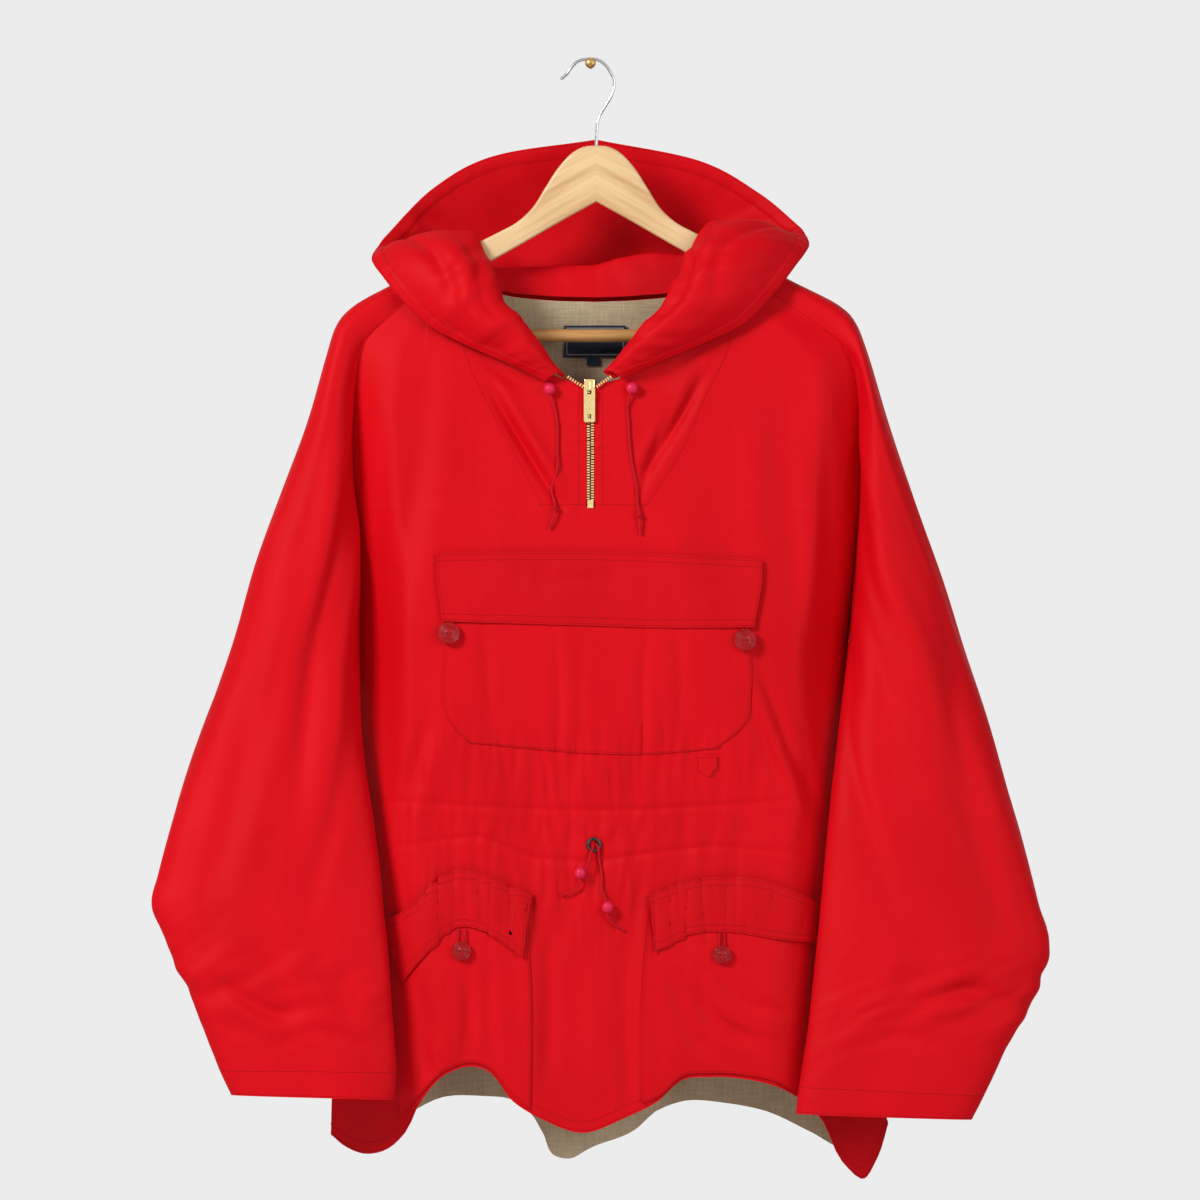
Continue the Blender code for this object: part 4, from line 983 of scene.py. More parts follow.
# hems from the left side seam to the right one: x, height
HEM_FRONT = (
    (-234, -970), (-222, -979.5), (-202, -986), (-185, -982), (-167, -966), (-153, -938), (-127, -911),
    (-106, -905.5),
    (-95, -908), (-68, -938), (-43, -953), (-7, -965), (30, -952), (60, -937), (84, -917), (106, -915),
    (140, -917), (175, -927), (205, -950), (229, -995), (246, -1009), (258, -992), (269, -960),
)
HEM_BACK = (
    (-234, -971), (-205, -973), (-170, -955), (-134, -938), (-100, -937), (-64, -943), (-45, -966),
    (-33, -991),
    (-20, -994), (0, -984), (40, -968), (62, -949), (85, -941.5), (123, -943.5), (160, -951), (200, -969),
    (235, -985), (255, -982), (269, -961),
)

# outer edge and inner edge of each section; the rows down to the underarm stand on SEAM_HEIGHTS,
# where the inner edge is the raglan seam
# columns: out_x, out_z, in_x, in_z
SLEEVE_LEFT = (
    (-132, -175.5, None, -190),
    (-172, -199, None, -223),
    (-213, -222.5, None, -245),
    (-228, -240, None, -257),
    (-237, -269, None, -278),
    (-252, -324, None, -334),
    (-276, -392, None, -403),
    (-300, -455, None, -470),
    (-324, -532, None, -530),
    (-349, -603, -206, -611),
    (-371, -674, -196, -680),
    (-387, -730, -189, -732),
    (-393.5, -760, -186, -766),
    (-380, -794, -182, -800),
    (-357, -845, -178.5, -852),
    (-334.5, -901, -174.5, -906),
    (-321, -930, -176, -934),
)
SLEEVE_RIGHT = (
    (137, -172.5, None, -190),
    (176, -196.5, None, -223),
    (223, -221, None, -245),
    (238, -236, None, -257),
    (249, -263, None, -278),
    (267, -324, None, -334),
    (291, -394, None, -403),
    (315.5, -465, None, -470),
    (336, -532, None, -530),
    (361, -610, 223, -611),
    (385, -693, 214, -690),
    (401, -757, 208, -753),
    (411, -796, 203, -802),
    (398, -840, 199, -838),
    (378, -876, 195, -874),
    (351.5, -932, 187, -926),
    (341, -952, 184.5, -947),
)
# depth of each section: front and back of the tube, outer fold, inner fold below the underarm
# columns: front, back, outer, inner
SLEEVE_DEPTH = (
    (-12, 12, 0, None),
    (-18, 18, 0, None),
    (-24, 22, 0, None),
    (-29, 25, 0, None),
    (-36, 27, -2, None),
    (-45, 30, -4, None),
    (-52, 32, -6, None),
    (-57, 30, -8, None),
    (-62, 24, -10, 2),
    (-68, -2, -26, -32),
    (-76, -16, -40, -48),
    (-82, -27, -50, -57),
    (-86, -33, -57, -62),
    (-89, -39, -62, -66),
    (-92, -46, -68, -71),
    (-94, -51, -72, -73),
    (-94, -53, -73, -74),
)
UNDERARM_ROW = 8
RIM_CASING = 12.0            # width of the drawcord casing along the hood's rim

NECK_CLEAR = 1.8             # how far above the neckline the collar starts, at the front
NAPE_CLEAR = 4.2             # and behind
# sections of the left half, neck to rim; the neck ends come from NECKLINE_LEFT, row by row
# columns: name, collar, roll, fall, rim
HOOD_LEFT = (
    ("zip_end", (-24, -42, -284), (-29, -47, -283), (-35, -48, -285), (-41, -43, -290)),
    ("collar_low", (-38, -50, -268), (-45, -57, -269), (-56, -55, -272), (-67, -43, -277)),
    ("collar_mid", (-55, -54, -243), (-68, -64, -245), (-88, -58, -251), (-109, -40, -258.5)),
    ("collar_high", (-76, -48, -220), (-92, -63, -220), (-118, -57, -227), (-145, -36, -240)),
    ("inset_seam", (-86, -28, -194), (-104, -54, -192), (-140, -52, -200), (-172, -33, -214)),
    ("raglan_front", (-93, -16, -178), (-112, -40, -172), (-153, -40, -180), (-187, -22, -195)),
    ("arm_front", (-98, -12.5, -164), (-118, -28, -160), (-158, -26, -167), (-194, -12, -186)),
    ("shoulder", (-106, -2, -154), (-128, -8, -152), (-164, -6, -158), (-197, 0, -178)),
    ("arm_back", (-114, 11, -163), (-132, 14, -163), (-163, 16, -162), (-192, 13, -168)),
    ("raglan_back", (-118, 20, -174), (-132, 32, -178), (-160, 34, -168), (-182, 24, -154)),
    ("nape_side", (-86, 31, -186), (-96, 50, -215), (-118, 56, -165), (-142, 40, -113)),
    ("nape_mid", (-42, 34, -186), (-50, 56, -238), (-68, 62, -160), (-88, 47, -84)),
    ("nape", (5, 36, -184), (5, 58, -246), (5, 62, -160), (5, 49, -69)),
)

CHEST_POCKET = {
    "top": ((-133, -462), (0, -462), (146, -466)),
    "bottom": ((-109, -615), (-60, -619.5), (0, -624.5), (60, -624.5), (113, -620)),
    "left": ((-133, -462), (-131, -530), (-127, -595), (-109, -615)),
    "right": ((146, -466), (143.5, -534), (138, -598), (113, -620)),
}
CHEST_FLAP = {
    "top": ((-138, -445.3), (0, -444.5), (154, -451)),
    "bottom": ((-133, -506.5), (-30, -509.5), (60, -512), (147, -512)),
    "left": ((-138, -445.3), (-138.5, -460), (-133, -506.5)),
    "right": ((154, -451), (154, -465), (147, -512)),
}
LOW_POCKET_LEFT = {
    "top": ((-182, -790), (-150, -768), (-118, -745), (-85, -752), (-57, -763)),
    "bottom": ((-170, -953), (-153, -932), (-127, -907), (-106, -901.5), (-90, -907), (-72, -928),
               (-54, -944)),
    "left": ((-182, -790), (-178, -870), (-170, -953)),
    "right": ((-57, -763), (-53.5, -850), (-54, -944)),
}
LOW_POCKET_RIGHT = {
    "top": ((52, -764), (90, -752), (120, -749), (165, -756), (198, -771)),
    "bottom": ((46, -938), (62, -931), (84, -913), (106, -911), (140, -913), (168, -920), (187, -933)),
    "left": ((52, -764), (46.5, -850), (46, -938)),
    "right": ((198, -771), (194, -860), (187, -933)),
}
LOW_FLAP_LEFT = {
    "top": ((-184, -778), (-155, -759), (-134, -735), (-120, -730), (-100, -732), (-82, -740), (-53.6, -750)),
    "bottom": ((-165, -830), (-145, -804), (-125, -783), (-108, -780.5), (-95, -785), (-73, -798.5),
               (-60, -807.5)),
    "left": ((-184, -778), (-165, -830)),
    "right": ((-53.6, -750), (-55.3, -757), (-60, -807.5)),
}
LOW_FLAP_RIGHT = {
    "top": ((51.8, -752), (91, -739), (115, -736), (143, -737), (168, -743), (200, -759)),
    "bottom": ((56, -803.5), (81.5, -791.3), (93, -786), (117, -785), (143, -787), (163, -791), (197, -795)),
    "left": ((51.8, -752), (56, -803.5)),
    "right": ((200, -759), (197, -795)),
}
LOOP_TAB = {
    "top": ((98.5, -626.5), (112.5, -626.5)),
    "bottom": ((98.5, -640), (105.5, -645), (112, -638)),
    "left": ((98.5, -626.5), (98.5, -640)),
    "right": ((112.5, -626.5), (112, -638)),
}

# name, x, height, diameter, height of the flap's edge that its cord loop comes from
BUTTONS = (
    ("chest_button_left", -126.5, -517.2, 19.8, -506.7),
    ("chest_button_right", 139.0, -523.0, 19.8, -512.1),
    ("low_button_left", -115.0, -801.6, 16.6, -781.6),
    ("low_button_right", 118.0, -804.8, 16.6, -785.0),
)
NECK_LABEL = (-24.0, 32.0, -238.0, -266.5)      # left, right, top, bottom
SIZE_TAB = (-3.0, 8.6, -267.0, -274.0)
SIZE_TAB_FLAT = (0.0116, 0.0101)     # metres, as cut
SIZE_TAB_AREA = 0.000081             # square metres

# right half of the hanger's outline from its top, relative to the stem: x, height
HANGER_OUTER = (
    (0, -76.7), (11, -77.8), (19, -81.5), (32.9, -95), (46.4, -115.4), (58, -133.4), (72, -146.3), (88, -155),
    (104.4, -163.2), (150, -188.5), (200, -217), (221, -228.6), (226.8, -234.4), (226.8, -252), (220, -262),
    (207, -262),
)
HANGER_INNER = ((197, -239), (150, -209.5), (94.8, -181), (0, -127.5))
HOOK_POINTS = (
    (-27.1, -16.7), (-22.0, -12.6), (-16.2, -4.8), (-11.2, -0.4), (-5.9, 1.2), (0.0, 1.5), (5.5, 1.2),
    (11.7, -2.2),
    (17.9, -10.2), (21.5, -19.2), (21.0, -25.4), (17.9, -33.5), (12.7, -42.0), (8.5, -49.3), (6.5, -55.2),
    (5.7, -63.7), (5.2, -76.0), (5.2, -96.0),
)

# cords: routes in x, height and distance off the cloth
HOOD_CORD_LEFT = (
    (-37.4, -291.6, 6.6), (-36.5, -297.2, 6.4), (-35.6, -303.6, 6.2), (-32.4, -313.0, 3.6),
    (-29.6, -330.0, 3.0),
    (-29.5, -350.0, 2.9), (-30.8, -370.0, 2.9), (-32.9, -388.0, 3.0), (-32.6, -402.0, 4.4),
    (-32.2, -407.4, 5.8),
    (-33.2, -413.4, 5.4), (-36.9, -423.2, 3.6),
)
HOOD_CORD_RIGHT = (
    (37.6, -290.8, 6.6), (36.5, -296.3, 6.4), (35.2, -302.6, 6.2), (33.4, -312.0, 3.6), (34.2, -326.0, 3.0),
    (36.5, -355.7, 2.9), (41.0, -386.3, 3.0), (42.6, -401.0, 3.6), (43.2, -407.4, 5.4), (44.1, -413.6, 5.4),
    (44.6, -428.2, 3.6),
)
WAIST_CORD_LEFT = (
    (1.3, -706.2, 2.1), (1.0, -709.2, 4.8), (-0.6, -715.5, 6.4), (-4.7, -727.6, 6.6), (-6.8, -733.7, 6.6),
    (-8.9, -739.8, 6.6), (-14.0, -745.4, 5.4), (-26.0, -752.2, 3.6),
)
WAIST_CORD_RIGHT = (
    (4.8, -706.6, 2.1), (5.3, -709.6, 4.6), (7.8, -718.4, 3.6), (10.4, -733.7, 3.0), (11.0, -750.0, 4.6),
    (12.2, -757.2, 6.4), (12.9, -763.4, 6.6), (13.7, -769.6, 6.6), (19.0, -776.4, 5.4), (29.6, -782.8, 3.6),
)
CORDS = (
    ("hood_cord_left", HOOD_CORD_LEFT, (("hood_stopper_left", 11.0), ("hood_knot_left", 5.6))),
    ("hood_cord_right", HOOD_CORD_RIGHT, (("hood_stopper_right", 11.0), ("hood_knot_right", 5.6))),
    ("waist_cord_left", WAIST_CORD_LEFT, (("waist_ball_left", 11.0),)),
    ("waist_cord_right", WAIST_CORD_RIGHT, (("waist_ball_right", 11.0),)),
)


# ================================================================ the body's form
class Profile:
    """Columns of a table, read smoothly at any height."""

    def __init__(self, columns: Sequence[str], rows: Sequence[Sequence[float]]) -> None:
        """Sorts the rows by their first column, which is the key.

        Args:
            columns: Names of the columns, the key first.
            rows: Rows of numbers under those names.
        """
        data = np.array(sorted(rows), dtype=float)
        self.keys = data[:, 0]
        self.values = {name: data[:, i] for i, name in enumerate(columns)}
        self.slopes = {name: steady_slopes(self.keys, data[:, i]) for i, name in enumerate(columns)}

    def read(self, name: str, key: Array) -> Array:
        """A column's values at the given keys."""
        return cubic_read(self.keys, self.values[name], self.slopes[name], np.asarray(key, dtype=float))


BODY_FORM = Profile(BODY_COLUMNS, BODY_ROWS)


def lift_from_edge(x: Array, z: Array) -> Array:
    """Share of the full depth at a point: none at the side edges, all in the middle."""
    inside = np.minimum(x - BODY_FORM.read("left", z), BODY_FORM.read("right", z) - x)
    inside = np.clip(inside / BODY_FORM.read("rise", z), 0, 1)
    return 0.55 * (1 - (1 - inside) ** 2) + 0.45 * inside * inside * (3 - 2 * inside)


@dataclass
class BodyFace:
    """Front or back of the body as a depth over x and height, with its creases."""

    front: bool
    marks: Sequence[Mark] = ()

    def depth(self, x: Array, z: Array) -> Array:
        """Depth y of the surface at points.

        Args:
            x: Places across, in millimetres.
            z: Heights, in millimetres.

        Returns:
            Depth y at each point.
        """
        x, z = np.round(x, 5), np.round(z, 5)
        edge = BODY_FORM.read("edge_front" if self.front else "edge_back", z)
        face = BODY_FORM.read("front" if self.front else "back", z)
        lift = lift_from_edge(x, z)
        creased = press(self.marks, x, z) * (1.0 if self.front else -1.0)
        return edge + (face - edge + creased) * lift

    def normals(self, x: Array, z: Array) -> Array:
        """Unit directions out of the face.

        Args:
            x: Places across, in millimetres.
            z: Heights, in millimetres.

        Returns:
            A unit direction for each point.
        """
        span = 1.5
        here = self.depth(x, z)
        slope_x = (self.depth(x + span, z) - here) / span
        slope_z = (self.depth(x, z + span) - here) / span
        way = -1.0 if self.front else 1.0
        normal = np.stack([-way * slope_x, way * np.ones(here.shape), -way * slope_z], axis=-1)
        return normal / np.linalg.norm(normal, axis=-1)[..., None]

    def surface(self, x: Array, z: Array, out: Array | float = 0.0) -> Array:
        """Points of the face moved outward along its own normal.

        Args:
            x: Places across, in millimetres.
            z: Heights, in millimetres.
            out: Distance outward in millimetres.

        Returns:
            The points.
        """
        x, z = np.asarray(x, dtype=float), np.asarray(z, dtype=float)
        base = np.stack([x, self.depth(x, z), z], axis=-1)
        if isinstance(out, float) and out == 0.0:
            return base
        return base + self.normals(x, z) * np.broadcast_to(out, x.shape)[..., None]


def mirrored_x(x: float) -> float:
    """The right half of the neck stands five millimetres further out at the shoulder."""
    return x if x > 0 else -x + 5.0 * min(-x / 128.0, 1.0)


def neck_points(side: int, front: BodyFace, back: BodyFace) -> list[tuple[float, float, float]]:
    """The neckline's points on one half, from the zip to the nape; side is -1 left, 1 right.

    Args:
        side: -1 for the left half, 1 for the right.
        front: The front face.
        back: The back face.

    Returns:
        Points as x, y and z in millimetres.
    """
    points = []
    for _, x, z, panel in NECKLINE_LEFT:
        across = x if side < 0 else mirrored_x(x)
        if panel in ("front", "back"):
            face = front if panel == "front" else back
            points.append((across, float(face.depth(np.array([across]), np.array([float(z)]))[0]), z))
        else:
            depth = {"arm": -10.0, "top": 0.0, "arm_behind": 10.0}[panel]
            points.append((across, depth, z + (3 if side > 0 else 0)))
    return points


def back_seam_shift(z: Array) -> Array:
    """The back seam runs further out than the front one between chest and underarm."""
    return BACK_SEAM_OUT * np.interp(-np.asarray(z, dtype=float), (190, 260, 470, 530), (0, 1, 1, 0))


def body_edge(side: int, z: Array) -> Array:
    """Side edge of the body at heights."""
    return BODY_FORM.read("left" if side < 0 else "right", z)



# ================================================================ cloth pieces
@dataclass
class ClothPiece:
    """What every cut-and-sewn piece shares: its name, its flat cut in metres and how it is shown."""

    name: str
    flat: tuple[float, float]
    area: float
    slot: str = "cloth"
    finish: str = "cotton_nylon_red"
    held: str = "hung"

    def show(self, item: bpy.types.Object, rests_on: Sequence[str] = ()) -> bpy.types.Object:
        """Args:
            item: The finished object.
            rests_on: Names of what it lies on; not used.

        Returns:
            The same object.
        """
        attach(item, BODY)
        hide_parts(self.name)
        half = sum(face.area for face in item.data.polygons) / 2
        LOG.info("%s: %d faces, %.4f of %.4f square metres", item.name, len(item.data.polygons), half,
                 self.area)
        return item


@dataclass
class Body:
    """Front and back body, the back's lining, and the two halves of the neck inset."""

    finishes: Finishes
    front: BodyFace
    back: BodyFace
    cell: float = 2.3

    def front_patches(self) -> list[Patch]:
        """Two shoulder straps beside the inset and the whole panel below it.

        Returns:
            The three patches.
        """
        strap_rows, strap_columns, middle_columns, low_rows = 96, 70, 40, 236
        patches = []
        lows = {}
        for side in (-1, 1):
            z = np.linspace(SEAM_HEIGHTS[0], INSET_BOTTOM, strap_rows + 1)
            outer = np.stack([body_edge(side, z), z], axis=-1)
            seam = along(INSET_SEAM_LEFT if side < 0 else INSET_SEAM_RIGHT, spread(strap_rows))
            share = (spread(strap_columns) ** 1.1)[:, None]
            top = outer[0] + (seam[0] - outer[0]) * share
            low = outer[-1] + (seam[-1] - outer[-1]) * share
            flat = coons(top, low, outer, seam)
            if side > 0:
                flat = flat[:, ::-1]
            patches.append(self.front_patch(flat, "tlr"))
            lows[side] = low
        middle = np.linspace(lows[-1][-1], lows[1][-1], middle_columns + 1)
        top = np.concatenate([lows[-1], middle[1:-1], lows[1][::-1]])
        hem = along(HEM_FRONT, spread(300))
        share = (top[:, 0] - top[0, 0]) / (top[-1, 0] - top[0, 0])
        bottom_x = hem[0, 0] + (hem[-1, 0] - hem[0, 0]) * share
        bottom = np.stack([bottom_x, np.interp(bottom_x, hem[:, 0], hem[:, 1])], axis=-1)
        flat = coons(top, bottom, self.side_line(-1, bottom[0], low_rows),
                     self.side_line(1, bottom[-1], low_rows))
        patches.append(self.front_patch(flat, "blr"))
        patches[-1].rims = ("b", "l", "r", ("t", strap_columns, strap_columns + middle_columns))
        whole = patches[-1]
        for strap, joined in ((patches[0], slice(0, strap_columns + 1)),
                              (patches[1], slice(-strap_columns - 1, None))):
            strap.points[-1] = whole.points[0, joined]
            strap.normals[-1] = whole.normals[0, joined]
        self.lower_front = whole.points
        return patches

    def front_patch(self, flat: Array, rims: str) -> Patch:
        """A patch of the front over its flat places."""
        x, z = flat[..., 0], flat[..., 1]
        return Patch(self.front.surface(x, z), flat, rims, self.front.normals(x, z))

    def side_line(self, side: int, bottom: Array, rows: int) -> Array:
        """A side edge of the lower front, down to the hem.

        Args:
            side: -1 for the left half, 1 for the right.
            bottom: Its lowest point, as x and height.
            rows: Steps down the line.

        Returns:
            Points as x and height.
        """
        z = np.linspace(INSET_BOTTOM, bottom[1], rows + 1)
        line = np.stack([body_edge(side, z), z], axis=-1)
        line[-1] = bottom
        return line

    def build_front(self) -> None:
        """The front body."""
        item = cloth_shell("front_cloth", self.front_patches(), CLOTH, self.finishes["cotton_nylon_red"])
        ClothPiece("front_body", (0.53, 0.83), 0.345).show(item, ["hanger_wood"])

    def back_grid(self, rows: int = 260, columns: int = 190) -> Array:
        """The back from the nape down to its hem, in x and height.

        Args:
            rows: Steps down.
            columns: Steps across.

        Returns:
            The grid of points.
        """
        halves = []
        names = [row[0] for row in NECKLINE_LEFT]
        for side in (-1, 1):
            neck = neck_points(side, self.front, self.back)[names.index("raglan_back"):]
            halves.append(along([(p[0], p[2]) for p in neck], spread(60)))
        neck = np.concatenate([halves[0], halves[1][::-1][1:]])
        share = spread(columns)
        top_x = neck[0, 0] + (neck[-1, 0] - neck[0, 0]) * share
        top = np.stack([top_x, np.interp(top_x, neck[:, 0], neck[:, 1])], axis=-1)
        hem = along(HEM_BACK, spread(300))
        bottom_x = hem[0, 0] + (hem[-1, 0] - hem[0, 0]) * share
        bottom = np.stack([bottom_x, np.interp(bottom_x, hem[:, 0], hem[:, 1])], axis=-1)
        lines = []
        for side, low in ((-1, bottom[0]), (1, bottom[-1])):
            z = np.linspace(SEAM_HEIGHTS[0], low[1], rows + 1)
            line = np.stack([body_edge(side, z) + side * back_seam_shift(z), z], axis=-1)
            line[-1] = low
            line[0] = top[0] if side < 0 else top[-1]
            lines.append(line)
        return coons(top, bottom, lines[0], lines[1])

    def build_back(self) -> None:
        """The back body and its lining."""
        flat = self.back_grid()
        points = self.back.surface(flat[..., 0], flat[..., 1])
        item = cloth_shell("back_cloth", [Patch(points[:, ::-1], flat[:, ::-1])], CLOTH,
                           self.finishes["cotton_nylon_red"])
        ClothPiece("back_body", (0.53, 0.83), 0.37).show(item, ["hanger_wood"])
        self.back_points = points[:, ::-1]
        flat = self.back_grid(150, 110)
        inner = self.back.surface(flat[..., 0], flat[..., 1], -(CLOTH / 2 + 1.1))
        inner[:, 0] += 0.8 * (inner[:, 1] - inner[:, 0])
        inner[:, -1] += 0.8 * (inner[:, -2] - inner[:, -1])
        item = cloth_shell("back_lining_cloth", [Patch(inner, flat)], 0.8,
                           self.finishes["slub_lining_beige"])
        ClothPiece("back_lining", (0.53, 0.82), 0.37, "lining").show(item, ["back_body"])
        self.lining_points = inner

    def build_inset(self, side: int) -> Array:
        """Half of the neck inset, from its seam to the zip.

        Args:
            side: -1 for the left half, 1 for the right.

        Returns:
            Its grid of points.
        """
        rows, columns = 56, 50
        seam = along(INSET_SEAM_LEFT if side < 0 else INSET_SEAM_RIGHT, spread(rows))
        zip_edge = side * (ZIP_WIDTH / 2 + 0.6)
        neck = neck_points(side, self.front, self.back)[:5][::-1]
        line = [(p[0], p[2]) for p in neck] + [(zip_edge, -293.0)]
        line[0] = tuple(seam[0])
        top = along(line, spread(columns))
        bottom = np.linspace(seam[-1], (zip_edge, INSET_BOTTOM), columns + 1)
        inner = np.linspace(top[-1], bottom[-1], rows + 1)
        flat = coons(top, bottom, seam, inner)
        if side > 0:
            flat = flat[:, ::-1]
        points = self.front.surface(flat[..., 0], flat[..., 1], 0.25)
        name = "neck_inset_left" if side < 0 else "neck_inset_right"
        item = cloth_shell(name + "_cloth", [Patch(points, flat)], CLOTH, self.finishes["cotton_nylon_red"])
        ClothPiece(name, (0.14, 0.21), 0.0145).show(item, ["front_body"])
        return points


@dataclass
class Sleeve:
    """A raglan sleeve as a flattened tube: an open arc down to the underarm, closed below it."""

    side: int
    outline: Sequence[Sequence[float | None]]
    finishes: Finishes
    marks: Sequence[Mark] = ()
    roundness: float = 2.5
    row_cells: int = 15
    round_cells: int = 150

    def section(self, out: Array, inner: Array, front: float, back: float, share: Array, rest_out: float,
                rest_in: Array) -> Array:
        """One section from the front seam over the outer fold to the back seam.

        Args:
            out: Outer point of the section, as x and height.
            inner: Inner point of the section.
            front: Depth y of its front.
            back: Depth y of its back.
            share: Places round it, from 0 to 1.
            rest_out: Depth y of its outer fold.
            rest_in: Depth y of its inner side.

        Returns:
            Points round the section.
        """
        angle = 2 * math.pi * share
        across = np.copysign(np.abs(np.cos(angle)) ** (2 / self.roundness), np.cos(angle))
        bulge = np.abs(np.sin(angle)) ** (2 / self.roundness)
        rest = rest_out + (rest_in - rest_out) * (1 + across) / 2
        face = np.where(share <= 0.5, front, back)
        middle = (out + inner) / 2 + (inner - out) / 2 * across[:, None]
        return np.stack([middle[:, 0], rest + (face - rest) * bulge, middle[:, 1]], axis=-1)

    def grid(self) -> tuple[Array, Array, int]:
        """Points and weave coordinates of the whole sleeve, and the row of the underarm.

        Returns:
            The points, their weave coordinates and the underarm's row.
        """
        table = []
        for index, (row, depth) in enumerate(zip(self.outline, SLEEVE_DEPTH)):
            in_x, in_z = row[2], row[3]
            if index <= UNDERARM_ROW:
                in_x = float(body_edge(self.side, np.array([float(in_z)]))[0]) + self.side * (
                    1.0 if index == UNDERARM_ROW else 0.0)
            inner = depth[3] if depth[3] is not None else 0.0
            table.append((row[0], row[1], in_x, in_z, depth[0], depth[1], depth[2], inner))
        data = np.array(table, dtype=float)
        index = np.arange(len(data), dtype=float)
        places = np.linspace(0, len(data) - 1, (len(data) - 1) * self.row_cells + 1)
        fine = np.stack([cubic_read(index, data[:, k], steady_slopes(index, data[:, k]) * 0.5
                                    + np.gradient(data[:, k]) * 0.5, places) for k in range(8)], axis=-1)
        share = self.shares()
        rows = []
        last = UNDERARM_ROW * self.row_cells
        for k, (out_x, out_z, in_x, in_z, front, back, outer, inner) in enumerate(fine):
            inner_end = np.full(len(share), inner)
            inner_x = np.full(len(share), in_x)
            if k < last:
                z = np.array([in_z])
                inner_x = in_x + self.side * float(back_seam_shift(z)[0]) * share
                edges = [float(BODY_FORM.read(name, z)[0]) for name in ("edge_front", "edge_back")]
                blend = np.clip((last - k) / 8.0, 0, 1)
                inner_end = np.where(share <= 0.5, edges[0], edges[1]) * blend + inner_end * (1 - blend)
            ends = np.stack([inner_x, np.full(len(share), in_z)], axis=-1)
            rows.append(self.section(np.array([out_x, out_z]), ends, front, back, share, outer, inner_end))
        points = np.array(rows)
        weave = self.weave_of(points)
        points = points - self.normals(points, last) * self.side_sign() * (
            press(self.marks, weave[..., 0], weave[..., 1]) * self.fade(share)[None])[..., None]
        return points, weave, last

    def side_sign(self) -> float:
        """Which way the grid's own normals have to be turned to point out."""
        return -1.0 if self.side < 0 else 1.0

    def normals(self, points: Array, last: int) -> Array:
        """Normals of the whole sleeve, carried round below the underarm."""
        normal = grid_normals(points, closed=True)
        normal[:last] = grid_normals(points)[:last]
        return normal

    def shares(self) -> Array:
        """Places round the tube, closer together where it turns over."""
        base = spread(self.round_cells)
        return base - 0.030 * np.sin(4 * math.pi * base) / (2 * math.pi) * 2

    def fade(self, share: Array) -> Array:
        """Creases die away at the raglan seam."""
        return np.clip(np.minimum(share, 1 - share) / 0.03, 0, 1)

    def weave_of(self, points: Array) -> Array:
        """Distance round from the outer fold and distance down, in millimetres.

        Args:
            points: Grid of points, a row for each section.

        Returns:
            Both distances at each point.
        """
        step = np.linalg.norm(np.diff(points, axis=1), axis=-1)
        reach = np.concatenate([np.zeros((len(points), 1)), np.cumsum(step, axis=1)], axis=1)
        middle = reach[:, [points.shape[1] // 2]]
        fold = points[:, points.shape[1] // 2]
        down = np.concatenate([[0.0], np.cumsum(np.linalg.norm(np.diff(fold, axis=0), axis=-1))])
        return np.stack([reach - middle, np.broadcast_to(-down[:, None], reach.shape)], axis=-1)

    def build(self) -> None:
        """The sleeve's shell."""
        points, weave, last = self.grid()
        if self.side < 0:
            points, weave = points[:, ::-1], weave[:, ::-1]
        normal = self.normals(points, last)
        patches = [Patch(points[:last + 1], weave[:last + 1], "tlr", normal[:last + 1]),
                   Patch(points[last:], weave[last:], "b", normal[last:])]
        name = "sleeve_left" if self.side < 0 else "sleeve_right"
        item = cloth_shell(name + "_cloth", patches, CLOTH, self.finishes["cotton_nylon_red"])
        ClothPiece(name, (0.50, 0.84), 0.236).show(item, ["hanger_wood"])
        self.points = points
        self.last = last


